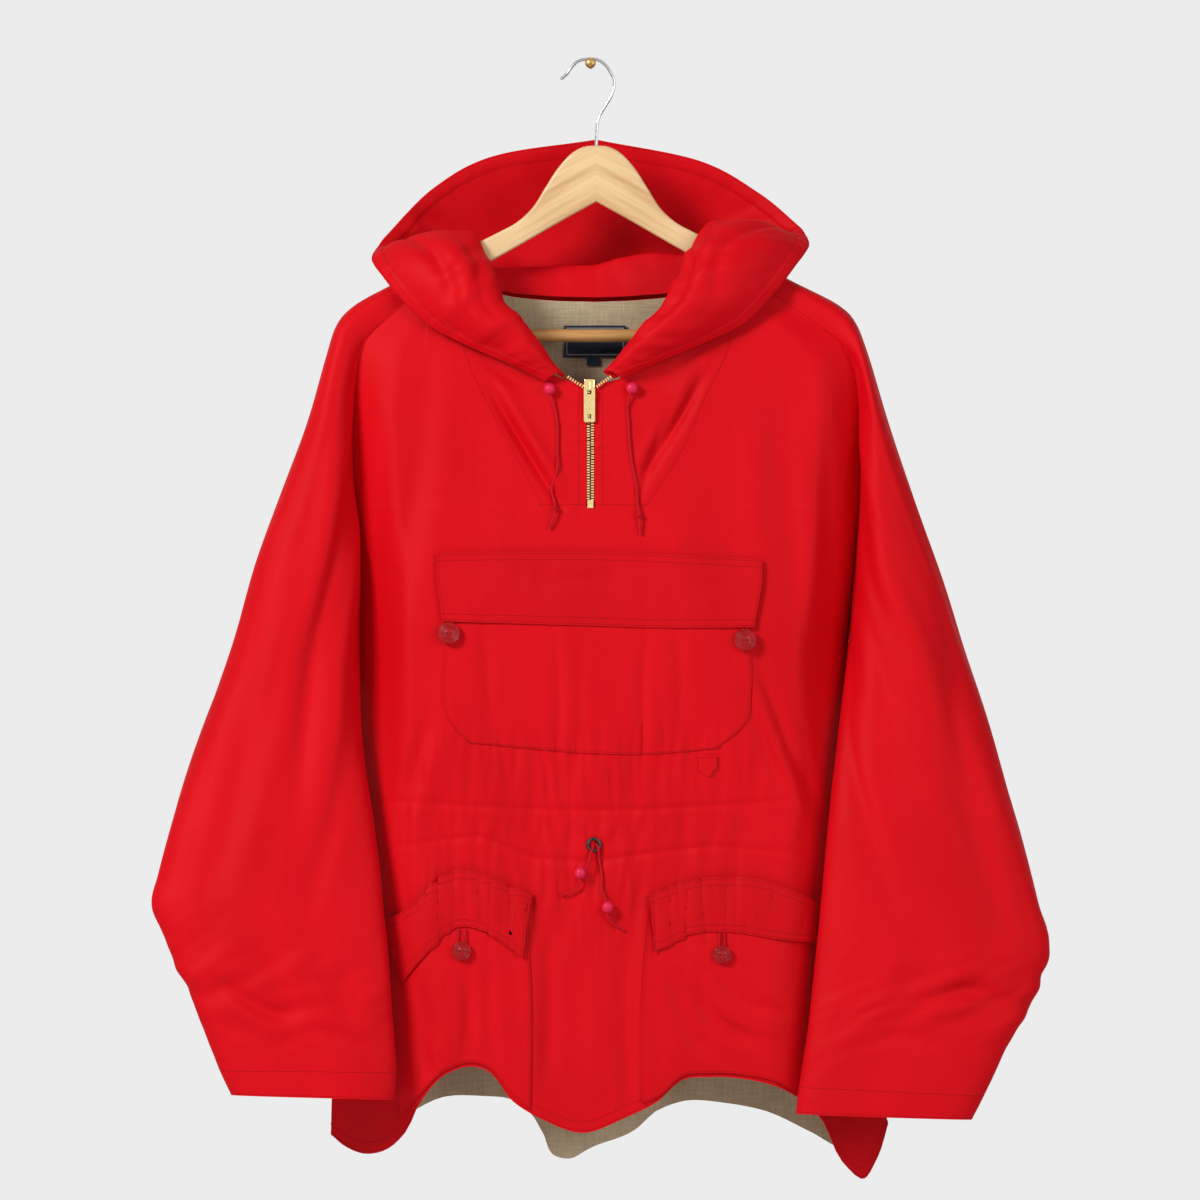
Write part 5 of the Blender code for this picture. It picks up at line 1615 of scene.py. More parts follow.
@dataclass
class Hood:
    """Two hood halves that meet at the centre back, each rolled over at the neck and falling to its rim."""

    finishes: Finishes
    front: BodyFace
    back: BodyFace
    marks: dict[int, Sequence[Mark]] = field(default_factory=dict)
    rows: int = 104
    between: int = 14

    def sections(self, side: int) -> Array:
        """Control points of one half, section by section from the zip to the nape.

        Args:
            side: -1 for the left half, 1 for the right.

        Returns:
            The control points.
        """
        sections = []
        for neck, row in zip(neck_points(side, self.front, self.back), HOOD_LEFT):
            section = [np.array(neck)]
            for x, y, z in row[1:]:
                if side > 0 and row[0] != "nape":
                    lean = np.interp(z, (-290, -178, -110), (-13, 0, 10))
                    x = -x + lean
                    z = z + np.interp(z, (-240, -185, -165, -120), (2, 12, 12, -4))
                section.append(np.array((x, y, z), dtype=float))
            rise = section[1] - section[0]
            clear = NAPE_CLEAR if section[1][1] > 5 else NECK_CLEAR
            section[0] = section[0] + rise / np.linalg.norm(rise) * clear
            sections.append(section)
        return np.array(sections)

    def grid(self, side: int) -> tuple[Array, Array]:
        """Points and weave coordinates, rows from neck to rim and columns from zip to nape.

        Args:
            side: -1 for the left half, 1 for the right.

        Returns:
            The points and their weave coordinates.
        """
        shares = spread(self.rows)
        sections = np.array([along(section, shares) for section in self.sections(side)])
        count = len(sections)
        places = np.linspace(0, count - 1, (count - 1) * self.between + 1)
        flat = sections.reshape(count, -1)
        index = np.arange(count, dtype=float)
        columns = [cubic_read(index, flat[:, k], np.gradient(flat[:, k]),
                              places) for k in range(flat.shape[1])]
        points = np.stack(columns, axis=-1).reshape(len(places), self.rows + 1, 3).transpose(1, 0, 2)
        down = np.concatenate([np.zeros((1, points.shape[1])),
                               np.cumsum(np.linalg.norm(np.diff(points, axis=0), axis=-1), axis=0)])
        rim = points[-1]
        run = np.concatenate([[0.0], np.cumsum(np.linalg.norm(np.diff(rim, axis=0), axis=-1))])
        weave = np.stack([np.broadcast_to(run[None], down.shape), down], axis=-1)
        from_rim = down[-1:] - down
        gather = (noise(run / 9.0, np.zeros(len(run)) + side * 3.1, 31) + 0.5 * noise(run / 4.6, run * 0,
                33))[None]
        casing = 0.9 * np.clip((RIM_CASING - from_rim) / 2.0, 0, 1) * np.clip(from_rim / 1.5 + 0.2, 0, 1)
        pucker = 1.5 * gather * np.exp(-((from_rim - RIM_CASING) / 9.0) ** 2)
        depth = press(self.marks.get(side, ()), weave[..., 0], weave[..., 1])
        depth = depth * np.clip(down / 10, 0, 1) * np.clip(from_rim / 16, 0, 1)
        middle_fade = np.clip((points.shape[1] - 1 - np.arange(points.shape[1])) / 10, 0, 1)[None]
        out = (casing + pucker - depth) * middle_fade
        normal = grid_normals(points) * (-1.0 if side < 0 else 1.0)
        return points + normal * out[..., None], weave

    def build(self) -> dict[int, Array]:
        """Both halves; returns their outer points by side.

        Returns:
            Outer points by side.
        """
        made = {}
        for side, name in ((-1, "hood_left"), (1, "hood_right")):
            points, weave = self.grid(side)
            if side < 0:
                points, weave = points[:, ::-1], weave[:, ::-1]
            made[side] = points
            item = cloth_shell(name + "_cloth", [Patch(points, weave)], CLOTH,
                               self.finishes["cotton_nylon_red"])
            ClothPiece(name, (0.21, 0.45), 0.060, held="draped").show(item, ["back_body"])
        return made


@dataclass
class PatchPiece(ClothPiece):
    """A pocket, flap or tab that lies on the front, raised toward its middle."""

    edges: dict[str, tuple] = field(default_factory=dict)
    off: float = 0.0
    puff: float = 0.0
    cells: tuple[int, int] = (40, 60)
    marks: Sequence[Mark] = ()

    def build(self, front: BodyFace, finishes: Finishes) -> Array:
        """The piece's shell; returns its outer points.

        Args:
            front: The front face that the piece lies on.
            finishes: Every finish.

        Returns:
            Its outer points.
        """
        rows, columns = self.cells
        lines = {name: along(points, spread(columns if name in ("top", "bottom") else rows))
                 for name, points in self.edges.items()}
        flat = coons(lines["top"], lines["bottom"], lines["left"], lines["right"])
        u, v = spread(columns)[None], spread(rows)[:, None]
        raised = self.puff * np.sin(math.pi * u) ** 0.7 * np.sin(math.pi * v) ** 0.8
        own = press(self.marks, flat[..., 0],
                    flat[..., 1]) * np.clip(8 * np.sin(math.pi * u) * np.sin(math.pi * v), 0, 1)
        height = np.maximum(self.off + raised - np.maximum(own, -0.5), self.off - 0.35)
        points = front.surface(flat[..., 0], flat[..., 1], height)
        item = cloth_shell(self.name + "_cloth", [Patch(points, flat)], CLOTH, finishes[self.finish])
        self.show(item, ["front_body"])
        return points


# ================================================================ creases of each panel
FRONT_MARKS: tuple[Mark, ...] = (
    # pulls that run from the neck inset's seams down to its lower corners
    Crease(((-92, -292), (-78, -318), (-56, -355), (-27, -403)), 5.5, 4.2, Lean.LEFT),
    Crease(((-100, -270), (-70, -288), (-36, -294)), 7, 2.2),
    Crease(((102, -284), (90, -306), (74, -334), (50, -374)), 5.5, 3.6, Lean.RIGHT),
    Crease(((80, -300), (59, -345), (45, -391)), 5, 2.6),
    Crease(((100, -264), (70, -284), (36, -292)), 7, 2.0),
    Crease(((-72, -299), (-36, -303)), 6, 1.0),
    Crease(((32, -301), (74, -296)), 6, 1.0),
    Wrinkles((0, -338), (24, 36), 6, 26, 90, 0.9, 3),
    # the body dips beside each armhole under the sleeve's weight
    Crease(((-186, -330), (-190, -450), (-196, -640)), 10, 3.4, Lean.RIGHT),
    Crease(((214, -330), (214, -450), (216, -640)), 10, 3.4, Lean.LEFT),
    # slow folds of the chest
    Crease(((-150, -275), (-160, -390), (-182, -520)), 15, 2.0, Lean.LEFT),
    Crease(((170, -300), (176, -400), (190, -520)), 15, 2.0, Lean.RIGHT),
    Crease(((-176, -420), (-184, -560), (-190, -660)), 11, 2.4),
    Wrinkles((0, -430), (150, 60), 42, 90, 20, 1.2, 41),
    # long pulls beside the chest pocket, down to the waist
    Crease(((146, -530), (172, -600), (203, -680)), 7, 3.0, Lean.RIGHT),
    Crease(((140, -566), (158, -620), (181, -672)), 6, 2.2),
    Crease(((176, -560), (196, -640), (212, -720)), 8, 2.0),
    Crease(((-144, -590), (-160, -650), (-176, -706)), 8, 2.0, Lean.LEFT),
    # streaks down the chest pocket
    Crease(((-98, -500), (-92, -560), (-90, -622)), 7, 1.4),
    Crease(((-34, -508), (-28, -560), (-30, -640)), 6, 1.5),
    Crease(((-8, -530), (-10, -600), (-14, -650)), 6, 1.2),
    Crease(((50, -512), (47, -580), (52, -645)), 6, 1.5),
    Crease(((76, -505), (80, -560), (78, -618)), 7, 1.2),
    # gathers of the drawn waist, above its casing, on it and below it
    Crease(((-205, -666), (-100, -672), (0, -676), (150, -669), (215, -664)), 2.6, 0.9),
    Crease(((-205, -712), (-133, -702), (-106, -698), (-54, -718), (-26, -722), (115, -708), (145, -710),
            (215, -720)),
           2.6, 0.9),
    Wrinkles((0, -640), (165, 36), 8, 60, 2, 2.3, 11),
    Wrinkles((0, -694), (185, 16), 6.5, 34, 0, 1.5, 13),
    Wrinkles((0, -752), (165, 40), 9, 66, -2, 2.5, 12),
    Wrinkles((0, -700), (200, 95), 24, 150, 0, 2.4, 14),
    # the skirt between and beside the lower pockets
    Crease(((-42, -760), (-36, -850), (-40, -940)), 9, 2.6, Lean.RIGHT),
    Crease(((34, -770), (30, -860), (36, -935)), 9, 2.2, Lean.LEFT),
    Crease(((-6, -790), (-12, -870), (-8, -950)), 13, 1.8),
    Wrinkles((0, -880), (60, 80), 22, 160, 3, 1.8, 15),
    Crease(((205, -740), (214, -840), (220, -960)), 12, 3.0),
    Crease(((-196, -760), (-200, -850), (-206, -950)), 11, 2.6),
)
BACK_MARKS: tuple[Mark, ...] = (
    Crease(((-60, -260), (-80, -420), (-96, -600)), 18, 2.6, Lean.LEFT),
    Crease(((70, -262), (86, -430), (92, -610)), 18, 2.4, Lean.RIGHT),
    Crease(((10, -300), (4, -460), (12, -640)), 22, 2.0),
    Crease(((-160, -330), (-176, -480), (-180, -650)), 14, 2.6),
    Crease(((176, -330), (192, -480), (196, -650)), 14, 2.6),
    Crease(((-205, -672), (0, -678), (215, -670)), 2.6, 0.9),
    Crease(((-205, -712), (0, -718), (215, -710)), 2.6, 0.9),
    Wrinkles((0, -645), (190, 34), 9, 60, 0, 2.1, 51),
    Wrinkles((0, -694), (200, 15), 6.5, 34, 0, 1.2, 52),
    Wrinkles((0, -750), (190, 40), 10, 66, 0, 2.3, 53),
    Crease(((-60, -770), (-54, -860), (-62, -960)), 13, 3.2, Lean.RIGHT),
    Crease(((66, -770), (60, -860), (70, -950)), 13, 3.0, Lean.LEFT),
    Wrinkles((0, -860), (210, 90), 30, 170, 0, 3.0, 54),
    Wrinkles((0, -400), (190, 150), 50, 220, 6, 2.0, 55),
)
SLEEVE_LEFT_MARKS: tuple[Mark, ...] = (
    Crease(((-60, -60), (-52, -220), (-70, -400)), 20, 2.6, Lean.LEFT),
    Crease(((-96, -240), (-112, -420), (-128, -600)), 16, 3.4, Lean.RIGHT),
    Crease(((-44, -380), (-64, -540), (-60, -690)), 16, 2.6),
    Crease(((-150, -430), (-160, -560), (-150, -700)), 13, 3.0),
    Wrinkles((-90, -420), (110, 260), 34, 230, -4, 3.0, 61),
    Wrinkles((-90, -745), (110, 55), 24, 62, 58, 3.4, 62),
    Crease(((-40, -742), (-84, -772), (-128, -760)), 9, 2.8, Lean.LEFT),
    Crease(((-70, -800), (-112, -786), (-150, -800)), 8, 2.2),
    Wrinkles((90, -420), (110, 300), 34, 220, 4, 3.2, 63),
    Wrinkles((90, -740), (110, 60), 24, 62, -58, 3.4, 64),
)
SLEEVE_RIGHT_MARKS: tuple[Mark, ...] = (
    Crease(((-58, -60), (-50, -230), (-66, -420)), 20, 2.4, Lean.RIGHT),
    Crease(((-92, -220), (-108, -430), (-120, -610)), 17, 3.2, Lean.LEFT),
    Crease(((-40, -400), (-56, -560), (-52, -700)), 15, 2.8),
    Crease(((-146, -420), (-156, -570), (-146, -700)), 13, 3.0),
    Wrinkles((-90, -400), (110, 260), 32, 230, 5, 3.0, 71),
    Wrinkles((-90, -765), (110, 55), 26, 60, 118, 3.4, 72),
    Crease(((-36, -770), (-80, -752), (-120, -778)), 9, 2.8, Lean.RIGHT),
    Crease(((-70, -812), (-110, -800), (-150, -820)), 8, 2.2),
    Wrinkles((90, -420), (110, 300), 34, 220, -4, 3.2, 73),
    Wrinkles((90, -760), (110, 60), 24, 62, 58, 3.4, 74),
)
HOOD_MARKS: dict[int, tuple[Mark, ...]] = {
    -1: (
        Wrinkles((190, 75), (160, 50), 30, 80, 25, 4.2, 81),
        Crease(((60, 60), (130, 66), (200, 60)), 9, 2.2, Lean.LEFT),
        Crease(((120, 92), (180, 98), (240, 90)), 8, 2.4),
        Wrinkles((420, 90), (150, 70), 40, 60, 80, 3.0, 82),
    ),
    1: (
        Wrinkles((190, 75), (160, 50), 28, 80, -25, 4.2, 84),
        Crease(((64, 58), (128, 62), (210, 56)), 9, 2.2, Lean.RIGHT),
        Crease(((130, 94), (188, 92), (246, 98)), 8, 2.4),
        Wrinkles((420, 90), (150, 70), 40, 60, 100, 3.0, 85),
    ),
}
LOW_POCKET_LEFT_MARKS: tuple[Mark, ...] = (
    Crease(((-112, -815), (-108, -860), (-112, -900)), 8, 2.2, Lean.RIGHT),
    Crease(((-90, -810), (-92, -850), (-84, -905)), 7, 1.6),
    Crease(((-150, -830), (-146, -870), (-150, -915)), 8, 1.8),
    Wrinkles((-115, -880), (50, 40), 18, 60, 10, 1.6, 91),
)
LOW_POCKET_RIGHT_MARKS: tuple[Mark, ...] = (
    Crease(((92, -826), (112, -866), (160, -884)), 9, 2.6, Lean.LEFT),
    Crease(((110, -822), (138, -850), (176, -858)), 8, 2.2),
    Crease(((76, -815), (82, -856), (100, -892)), 8, 2.0),
    Wrinkles((120, -870), (60, 40), 20, 60, 50, 1.8, 92),
)
FLAP_MARKS: tuple[Mark, ...] = (
    Wrinkles((0, -480), (150, 26), 26, 44, 10, 0.8, 95),
    Crease(((-70, -462), (-30, -470), (30, -466)), 8, 0.9),
)


# ================================================================ things repeated along a line
class Repeated(Enum):
    """The shape that is repeated along a line."""

    THREAD = "thread"
    TOOTH = "tooth"


def repeat_tree(shape: Repeated, material: bpy.types.Material) -> bpy.types.NodeTree:
    """A node tree that sets one shape along every edge line of a mesh.

    Args:
        shape: Thread is a five-sided stitch, tooth a small block.
        material: What the shapes are made of.

    Returns:
        The tree, with Pitch, Length, Width and Height as its named inputs.
    """
    tree = bpy.data.node_groups.new("along_" + shape.value, "GeometryNodeTree")
    tree.interface.new_socket("Geometry", in_out="INPUT", socket_type="NodeSocketGeometry")
    for name in ("Pitch", "Length", "Width", "Height"):
        tree.interface.new_socket(name, in_out="INPUT", socket_type="NodeSocketFloat")
    tree.interface.new_socket("Geometry", in_out="OUTPUT", socket_type="NodeSocketGeometry")
    nodes, links = tree.nodes, tree.links
    given = nodes.new("NodeGroupInput")
    curve = nodes.new("GeometryNodeMeshToCurve")
    places = nodes.new("GeometryNodeCurveToPoints")
    places.mode = "LENGTH"
    if shape is Repeated.THREAD:
        solid = nodes.new("GeometryNodeMeshCylinder")
        solid.inputs["Vertices"].default_value = 5
        solid.inputs["Radius"].default_value = 0.5
        solid.inputs["Depth"].default_value = 1.0
    else:
        solid = nodes.new("GeometryNodeMeshCube")
    size = nodes.new("ShaderNodeCombineXYZ")
    sized = nodes.new("GeometryNodeTransform")
    spots = nodes.new("GeometryNodeInstanceOnPoints")
    real = nodes.new("GeometryNodeRealizeInstances")
    dressed = nodes.new("GeometryNodeSetMaterial")
    dressed.inputs["Material"].default_value = material
    out = nodes.new("NodeGroupOutput")
    links.new(given.outputs["Geometry"], curve.inputs[0])
    links.new(curve.outputs[0], places.inputs["Curve"])
    links.new(given.outputs["Pitch"], places.inputs["Length"])
    links.new(given.outputs["Width"], size.inputs[0])
    links.new(given.outputs["Height"], size.inputs[1])
    links.new(given.outputs["Length"], size.inputs[2])
    links.new(solid.outputs[0], sized.inputs["Geometry"])
    links.new(size.outputs[0], sized.inputs["Scale"])
    links.new(places.outputs["Points"], spots.inputs["Points"])
    links.new(places.outputs["Rotation"], spots.inputs["Rotation"])
    links.new(sized.outputs[0], spots.inputs["Instance"])
    links.new(spots.outputs[0], real.inputs[0])
    links.new(real.outputs[0], dressed.inputs["Geometry"])
    links.new(dressed.outputs[0], out.inputs[0])
    return tree


def repeat_along(name: str, lines: Sequence[Array], tree: bpy.types.NodeTree, sizes: dict[str, float],
                 material: bpy.types.Material) -> bpy.types.Object:
    """Sets a tree's shape along lines and keeps the result as a plain piece.

    Args:
        name: The piece's name.
        lines: Lines of points in millimetres.
        tree: The tree from repeat_tree.
        sizes: The tree's named inputs in millimetres.
        material: The piece's material.

    Returns:
        The piece.
    """
    points = np.concatenate(lines) * MM
    edges = []
    start = 0
    for line in lines:
        edges += [(start + k, start + k + 1) for k in range(len(line) - 1)]
        start += len(line)
    guide = bpy.data.meshes.new(name + "_lines")
    guide.from_pydata(points.tolist(), edges, [])
    holder = bpy.data.objects.new(name + "_lines", guide)
    bpy.context.scene.collection.objects.link(holder)
    modifier = holder.modifiers.new("repeat", "NODES")
    modifier.node_group = tree
    keys = {socket.name: socket.identifier for socket in tree.interface.items_tree
            if socket.in_out == "INPUT"}
    for key, value in sizes.items():
        modifier[keys[key]] = value * MM
    graph = bpy.context.evaluated_depsgraph_get()
    mesh = bpy.data.meshes.new_from_object(holder.evaluated_get(graph))
    holder.modifiers.remove(modifier)
    bpy.data.objects.remove(holder)
    bpy.data.meshes.remove(guide)
    mesh.name = name
    return add_piece(name, mesh, material)


@dataclass
class Stitching:
    """All visible rows of thread."""

    finishes: Finishes
    pitch: float = 2.7
    length: float = 1.9
    thick: float = 0.42
    lines: list[Array] = field(default_factory=list)

    def add(self, grid: Array, edge: str, *insets: float, lift: float = CLOTH / 2 + 0.08,
            part: tuple[float, float] = (0.0, 1.0)) -> None:
        """Rows that follow an edge of a piece at the given distances inside it."""
        for inset in insets:
            line = edge_line(grid, edge, inset, lift)
            first, last = int(part[0] * (len(line) - 1)), int(part[1] * (len(line) - 1))
            self.lines.append(line[first:last + 1])

    def add_line(self, face: BodyFace, route: Sequence[tuple[float, float]], lift: float = CLOTH / 2 + 0.08,
                 steps: int = 120) -> None:
        """A row along a route on the front or back."""
        line = along(route, spread(steps)) if len(route) > 2 else np.linspace(route[0], route[1], steps + 1)
        self.lines.append(face.surface(line[:, 0], line[:, 1], lift))

    def build(self) -> None:
        """One piece with every stitch."""
        thread = self.finishes["polyester_thread_red"]
        sizes = {"Pitch": self.pitch, "Length": self.length, "Width": self.thick, "Height": self.thick}
        item = repeat_along("stitches", self.lines, repeat_tree(Repeated.THREAD, thread), sizes, thread)
        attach(item, BODY)
        LOG.info("stitches: %d faces", len(item.data.polygons))


# ================================================================ trims
@dataclass
class Trims:
    """Zip, label, buttons, eyelet, cords and their beads."""

    finishes: Finishes
    front: BodyFace
    back: BodyFace
    nodes: dict[str, bpy.types.Object]
    cord: float = 2.2
    ball: float = 11.0
    knot: float = 5.6
    tooth_pitch: float = 2.3

    def fit(self, item: bpy.types.Object, node: str | None, slot: str) -> bpy.types.Object:
        """Puts a piece on the garment in place of its node.

        Args:
            item: The finished object.
            node: The node that it stands for, if any.
            slot: The slot's name; not used.

        Returns:
            The same object.
        """
        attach(item, BODY)
        if node:
            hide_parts(node)
        return item

    def repaint(self, node: str, finish: str) -> None:
        """Gives a node that stays on show its real finish."""
        for place in self.nodes[node].material_slots:
            place.material = self.finishes[finish]

    def on_front(self, route: Sequence[tuple[float, float, float]]) -> Array:
        """Points of a route of x, height and distance off the front."""
        data = np.array(route, dtype=float)
        return self.front.surface(data[:, 0], data[:, 1], data[:, 2])

    def build_label(self) -> None:
        """The woven label with its border, and the size tab under it."""
        for name, (left, right, top, low), finish in (("neck_label", NECK_LABEL, "damask_label_navy"),
                                                      ("size_tab", SIZE_TAB, "damask_label_navy")):
            x, z = np.meshgrid(np.linspace(left, right, 61), np.linspace(top, low, 31))
            points = self.back.surface(x, z, -(2 * LAYER + 0.5))
            item = cloth_shell(name + "_weave", [Patch(points, np.stack([x, z], axis=-1))], 0.9,
                               self.finishes[finish])
            if name == "neck_label":
                item.data.materials.append(self.finishes["thread_border_grey"])
                layer = item.data.uv_layers[UV_NAME].data
                for face in item.data.polygons:
                    spots = np.array([tuple(layer[i].uv) for i in face.loop_indices]) / MM
                    cx, cz = spots.mean(axis=0)
                    edge = min(cx - left, right - cx, top - cz, cz - low)
                    middle = abs(cz - (top + low) / 2) < 0.5 and abs(cx - (left + right) / 2) < 17
                    if 1.6 < edge < 2.6 or middle:
                        face.material_index = 1
            flat, area = SIZE_TAB_FLAT, SIZE_TAB_AREA
            if name == "neck_label":
                flat = ((right - left) * MM, (top - low) * MM)
                area = (right - left) * (top - low) * MM * MM
            ClothPiece(name, flat, area, "label", finish, "laid").show(item, ["back_lining"])

    def build_zip(self) -> None:
        """Tapes, two rows of teeth, the open ends, the stop, and finer metal on slider and tab."""
        brass = self.finishes["polished_brass"]
        for side, label in ((-1, "left"), (1, "right")):
            x, z = np.meshgrid(np.linspace(0.9, 13.0, 13) * side, np.linspace(-296, -401, 45))
            if side < 0:
                x = x[:, ::-1]
            points = self.front.surface(x, z, -1.5)
            item = cloth_shell("zip_tape_" + label + "_weave", [Patch(points, np.stack([x, z], axis=-1))],
                               1.0,
                               self.finishes["cotton_nylon_red"])
            ClothPiece("zip_tape_" + label, (0.0125, 0.105), 0.0013).show(item, ["front_body"])
        tree = repeat_tree(Repeated.TOOTH, brass)
        z = np.arange(-300.5, -396.5, -0.5)
        rows = []
        for side, shift in ((-1, 0.0), (1, self.tooth_pitch / 2)):
            rows.append(self.front.surface(np.full(len(z), side * 1.85), z - shift, 0.75))
        sizes = {"Pitch": self.tooth_pitch, "Length": 1.15, "Width": 2.7, "Height": 1.9}
        item = repeat_along("zip_teeth_rows", rows, tree, sizes, brass)
        self.fit(item, "zip_teeth", "brass")
        for side, label in ((-1, "left"), (1, "right")):
            ends = [(side * 6.45 - 0.45, -295.0), (side * 12.5 - 1, -291.0), (side * 19.0 - 1, -286.6)]
            y = self.front.depth(np.array([p[0] for p in ends]), np.full(3, -291.0)) - 4.2
            line = along([(p[0], depth, p[1]) for p, depth in zip(ends, y)], spread(24))
            small = {"Pitch": self.tooth_pitch, "Length": 1.2, "Width": 2.6, "Height": 2.6}
            teeth = repeat_along("open_teeth_" + label, [line], tree, small, brass)
            core = tube_mesh("zip_end_core_" + label, line, 0.9, 10)
            strand = add_piece("zip_end_strand_" + label, core, self.finishes["cotton_nylon_red"])
            self.fit(teeth, "zip_end_" + label, "brass")
            self.fit(strand, None, "cloth")
        for node in ("zip_stop", "zip_slider", "pull_tab"):
            self.repaint(node, "polished_brass")
        self.repaint("waist_eyelet", "blackened_steel")

    def outward(self, x: float, z: float) -> Array:
        """Outward direction of the front, steadied over the cloth's small creases.

        Args:
            x: Place across, in millimetres.
            z: Height, in millimetres.

        Returns:
            The unit direction.
        """
        span = 6.0
        spots = [self.front.surface(np.array([x + dx]), np.array([z + dz]))[0]
                 for dx, dz in ((0, 0), (span, 0), (-span, 0), (0, span), (0, -span))]
        normal = np.cross(spots[1] - spots[2], spots[3] - spots[4])
        normal = normal / np.linalg.norm(normal)
        return normal if normal[1] < 0 else -normal

    def build_buttons(self) -> None:
        """Ridged buttons with two eyes drawn as dark discs of painted shade, each over its loop of cord."""
        for name, x, z, diameter, flap_edge in BUTTONS:
            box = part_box(name)
            low, high = np.array(box[0]) / MM, np.array(box[1]) / MM
            normal = self.outward(x, z)
            centre = (low + high) / 2 - normal * 2.0
            r = diameter / 2
            profile = [(0.0, 3.1), (r * 0.36, 3.1), (r * 0.42, 2.7)]
            for ring in np.linspace(0.46, 0.94, 5):
                profile += [(r * (ring - 0.02), 2.75), (r * (ring + 0.015), 3.45), (r * (ring + 0.05), 2.85)]
            profile += [(r, 1.9), (r * 0.97, 0.9), (r * 0.82, 0.2), (r * 0.4, 0.0), (0.0, 0.0)]
            body = lathe_mesh(name + "_cast", profile, 64)
            place_mesh(body, centre, normal)
            self.fit(add_piece(name + "_cast", body, self.finishes["cast_resin_dark_red"]), name,
                     "button_resin")
            # the eyes aren't cut through; a dark disc sunk in each is painted shade where the hole is
            eyes = []
            for eye in (-1, 1):
                shade_disc = lathe_mesh("eye", [(0.0, 0.35), (0.8, 0.35), (0.95, 0.0), (0.0, 0.0)], 20)
                place_mesh(shade_disc, centre + normal * 2.95 + np.array([eye * 1.9, 0, 0]), normal)
                eyes.append(shade_disc)
            item = add_piece(name + "_eye_shade", join_meshes(name + "_eye_shade", eyes),
                             self.finishes["button_eye_shadow"])
            self.fit(item, None, "button_resin")
            loop = name.replace("button", "loop")
            seat = 2 * LAYER + (5.9 if name.startswith("low") else 3.0) - 1.1
            turn = z - r * 0.25
            arc = [(x + 2.4 * math.cos(a), turn + 2.4 * math.sin(a), seat) for a in np.linspace(math.pi,
                    2 * math.pi, 9)]
            line = self.on_front([(x - 2.4, flap_edge - 0.5, seat)] + arc + [(x + 2.4, flap_edge - 0.5,
                    seat)])
            tube = tube_mesh(loop + "_cord", along(line, spread(60)), 0.75, 10)
            self.fit(add_piece(loop + "_cord", tube, self.finishes["braided_cord_red"]), loop, "cord")

    def build_cords(self) -> None:
        """Four drawcords with their stoppers, balls and end knots."""
        for name, route, beads in CORDS:
            fixed = self.on_front(route)
            length = float(np.linalg.norm(np.diff(fixed, axis=0), axis=1).sum())
            line = along(fixed, spread(int(length / 1.2)))
            tube = tube_mesh(name + "_braid", line, self.cord / 2, 12)
            item = add_piece(name + "_braid", tube, self.finishes["braided_cord_red"])
            self.fit(item, name, "cord")
            for bead, diameter in beads:
                self.build_bead(bead, diameter, line)

    def build_bead(self, name: str, diameter: float, line: Array) -> bpy.types.Object:
        """A moulded ball or a tied knot round its cord, where its node is.

        Args:
            name: The node's name.
            diameter: Its diameter in millimetres.
            line: Points of its cord.

        Returns:
            The finished object.
        """
        low, high = (np.array(corner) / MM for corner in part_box(name))
        centre = (low + high) / 2
        nearest = int(np.argmin(np.linalg.norm(line - centre, axis=1)))
        nearest = min(max(nearest, 2), len(line) - 3)
        run = line[nearest + 2] - line[nearest - 2]
        run = run / np.linalg.norm(run)
        centre = line[nearest]
        r = diameter / 2
        if "knot" in name:
            turns = np.linspace(0, 2 * math.pi, 90, endpoint=False)
            loop = np.stack([np.sin(turns) + 2 * np.sin(2 * turns), np.cos(turns) - 2 * np.cos(2 * turns),
                             -1.1 * np.sin(3 * turns)], axis=-1) * (r / 3.9)
            mesh = tube_mesh(name + "_tied", loop, self.cord * 0.42, 9, closed=True)
            place_mesh(mesh, centre, run, upright=np.array([0.3, 1.0, 0.2]))
            return self.fit(add_piece(name + "_tied", mesh, self.finishes["braided_cord_red"]), name, "cord")
        bore = self.cord / 2 + 0.3
        angles = np.linspace(math.asin(bore / r), math.pi - math.asin(bore / r), 26)
        profile = [(bore, -r * 0.9)] + [(bore, r * 0.9)] + [(r * math.sin(a),
                r * math.cos(a)) for a in angles]
        profile += [(bore, -r * 0.9)]
        mesh = lathe_mesh(name + "_moulded", profile, 40)
        place_mesh(mesh, centre, run, upright=np.array([0.3, 1.0, 0.2]))
        return self.fit(add_piece(name + "_moulded", mesh, self.finishes["moulded_resin_pink"]), name,
                        "stopper_resin")


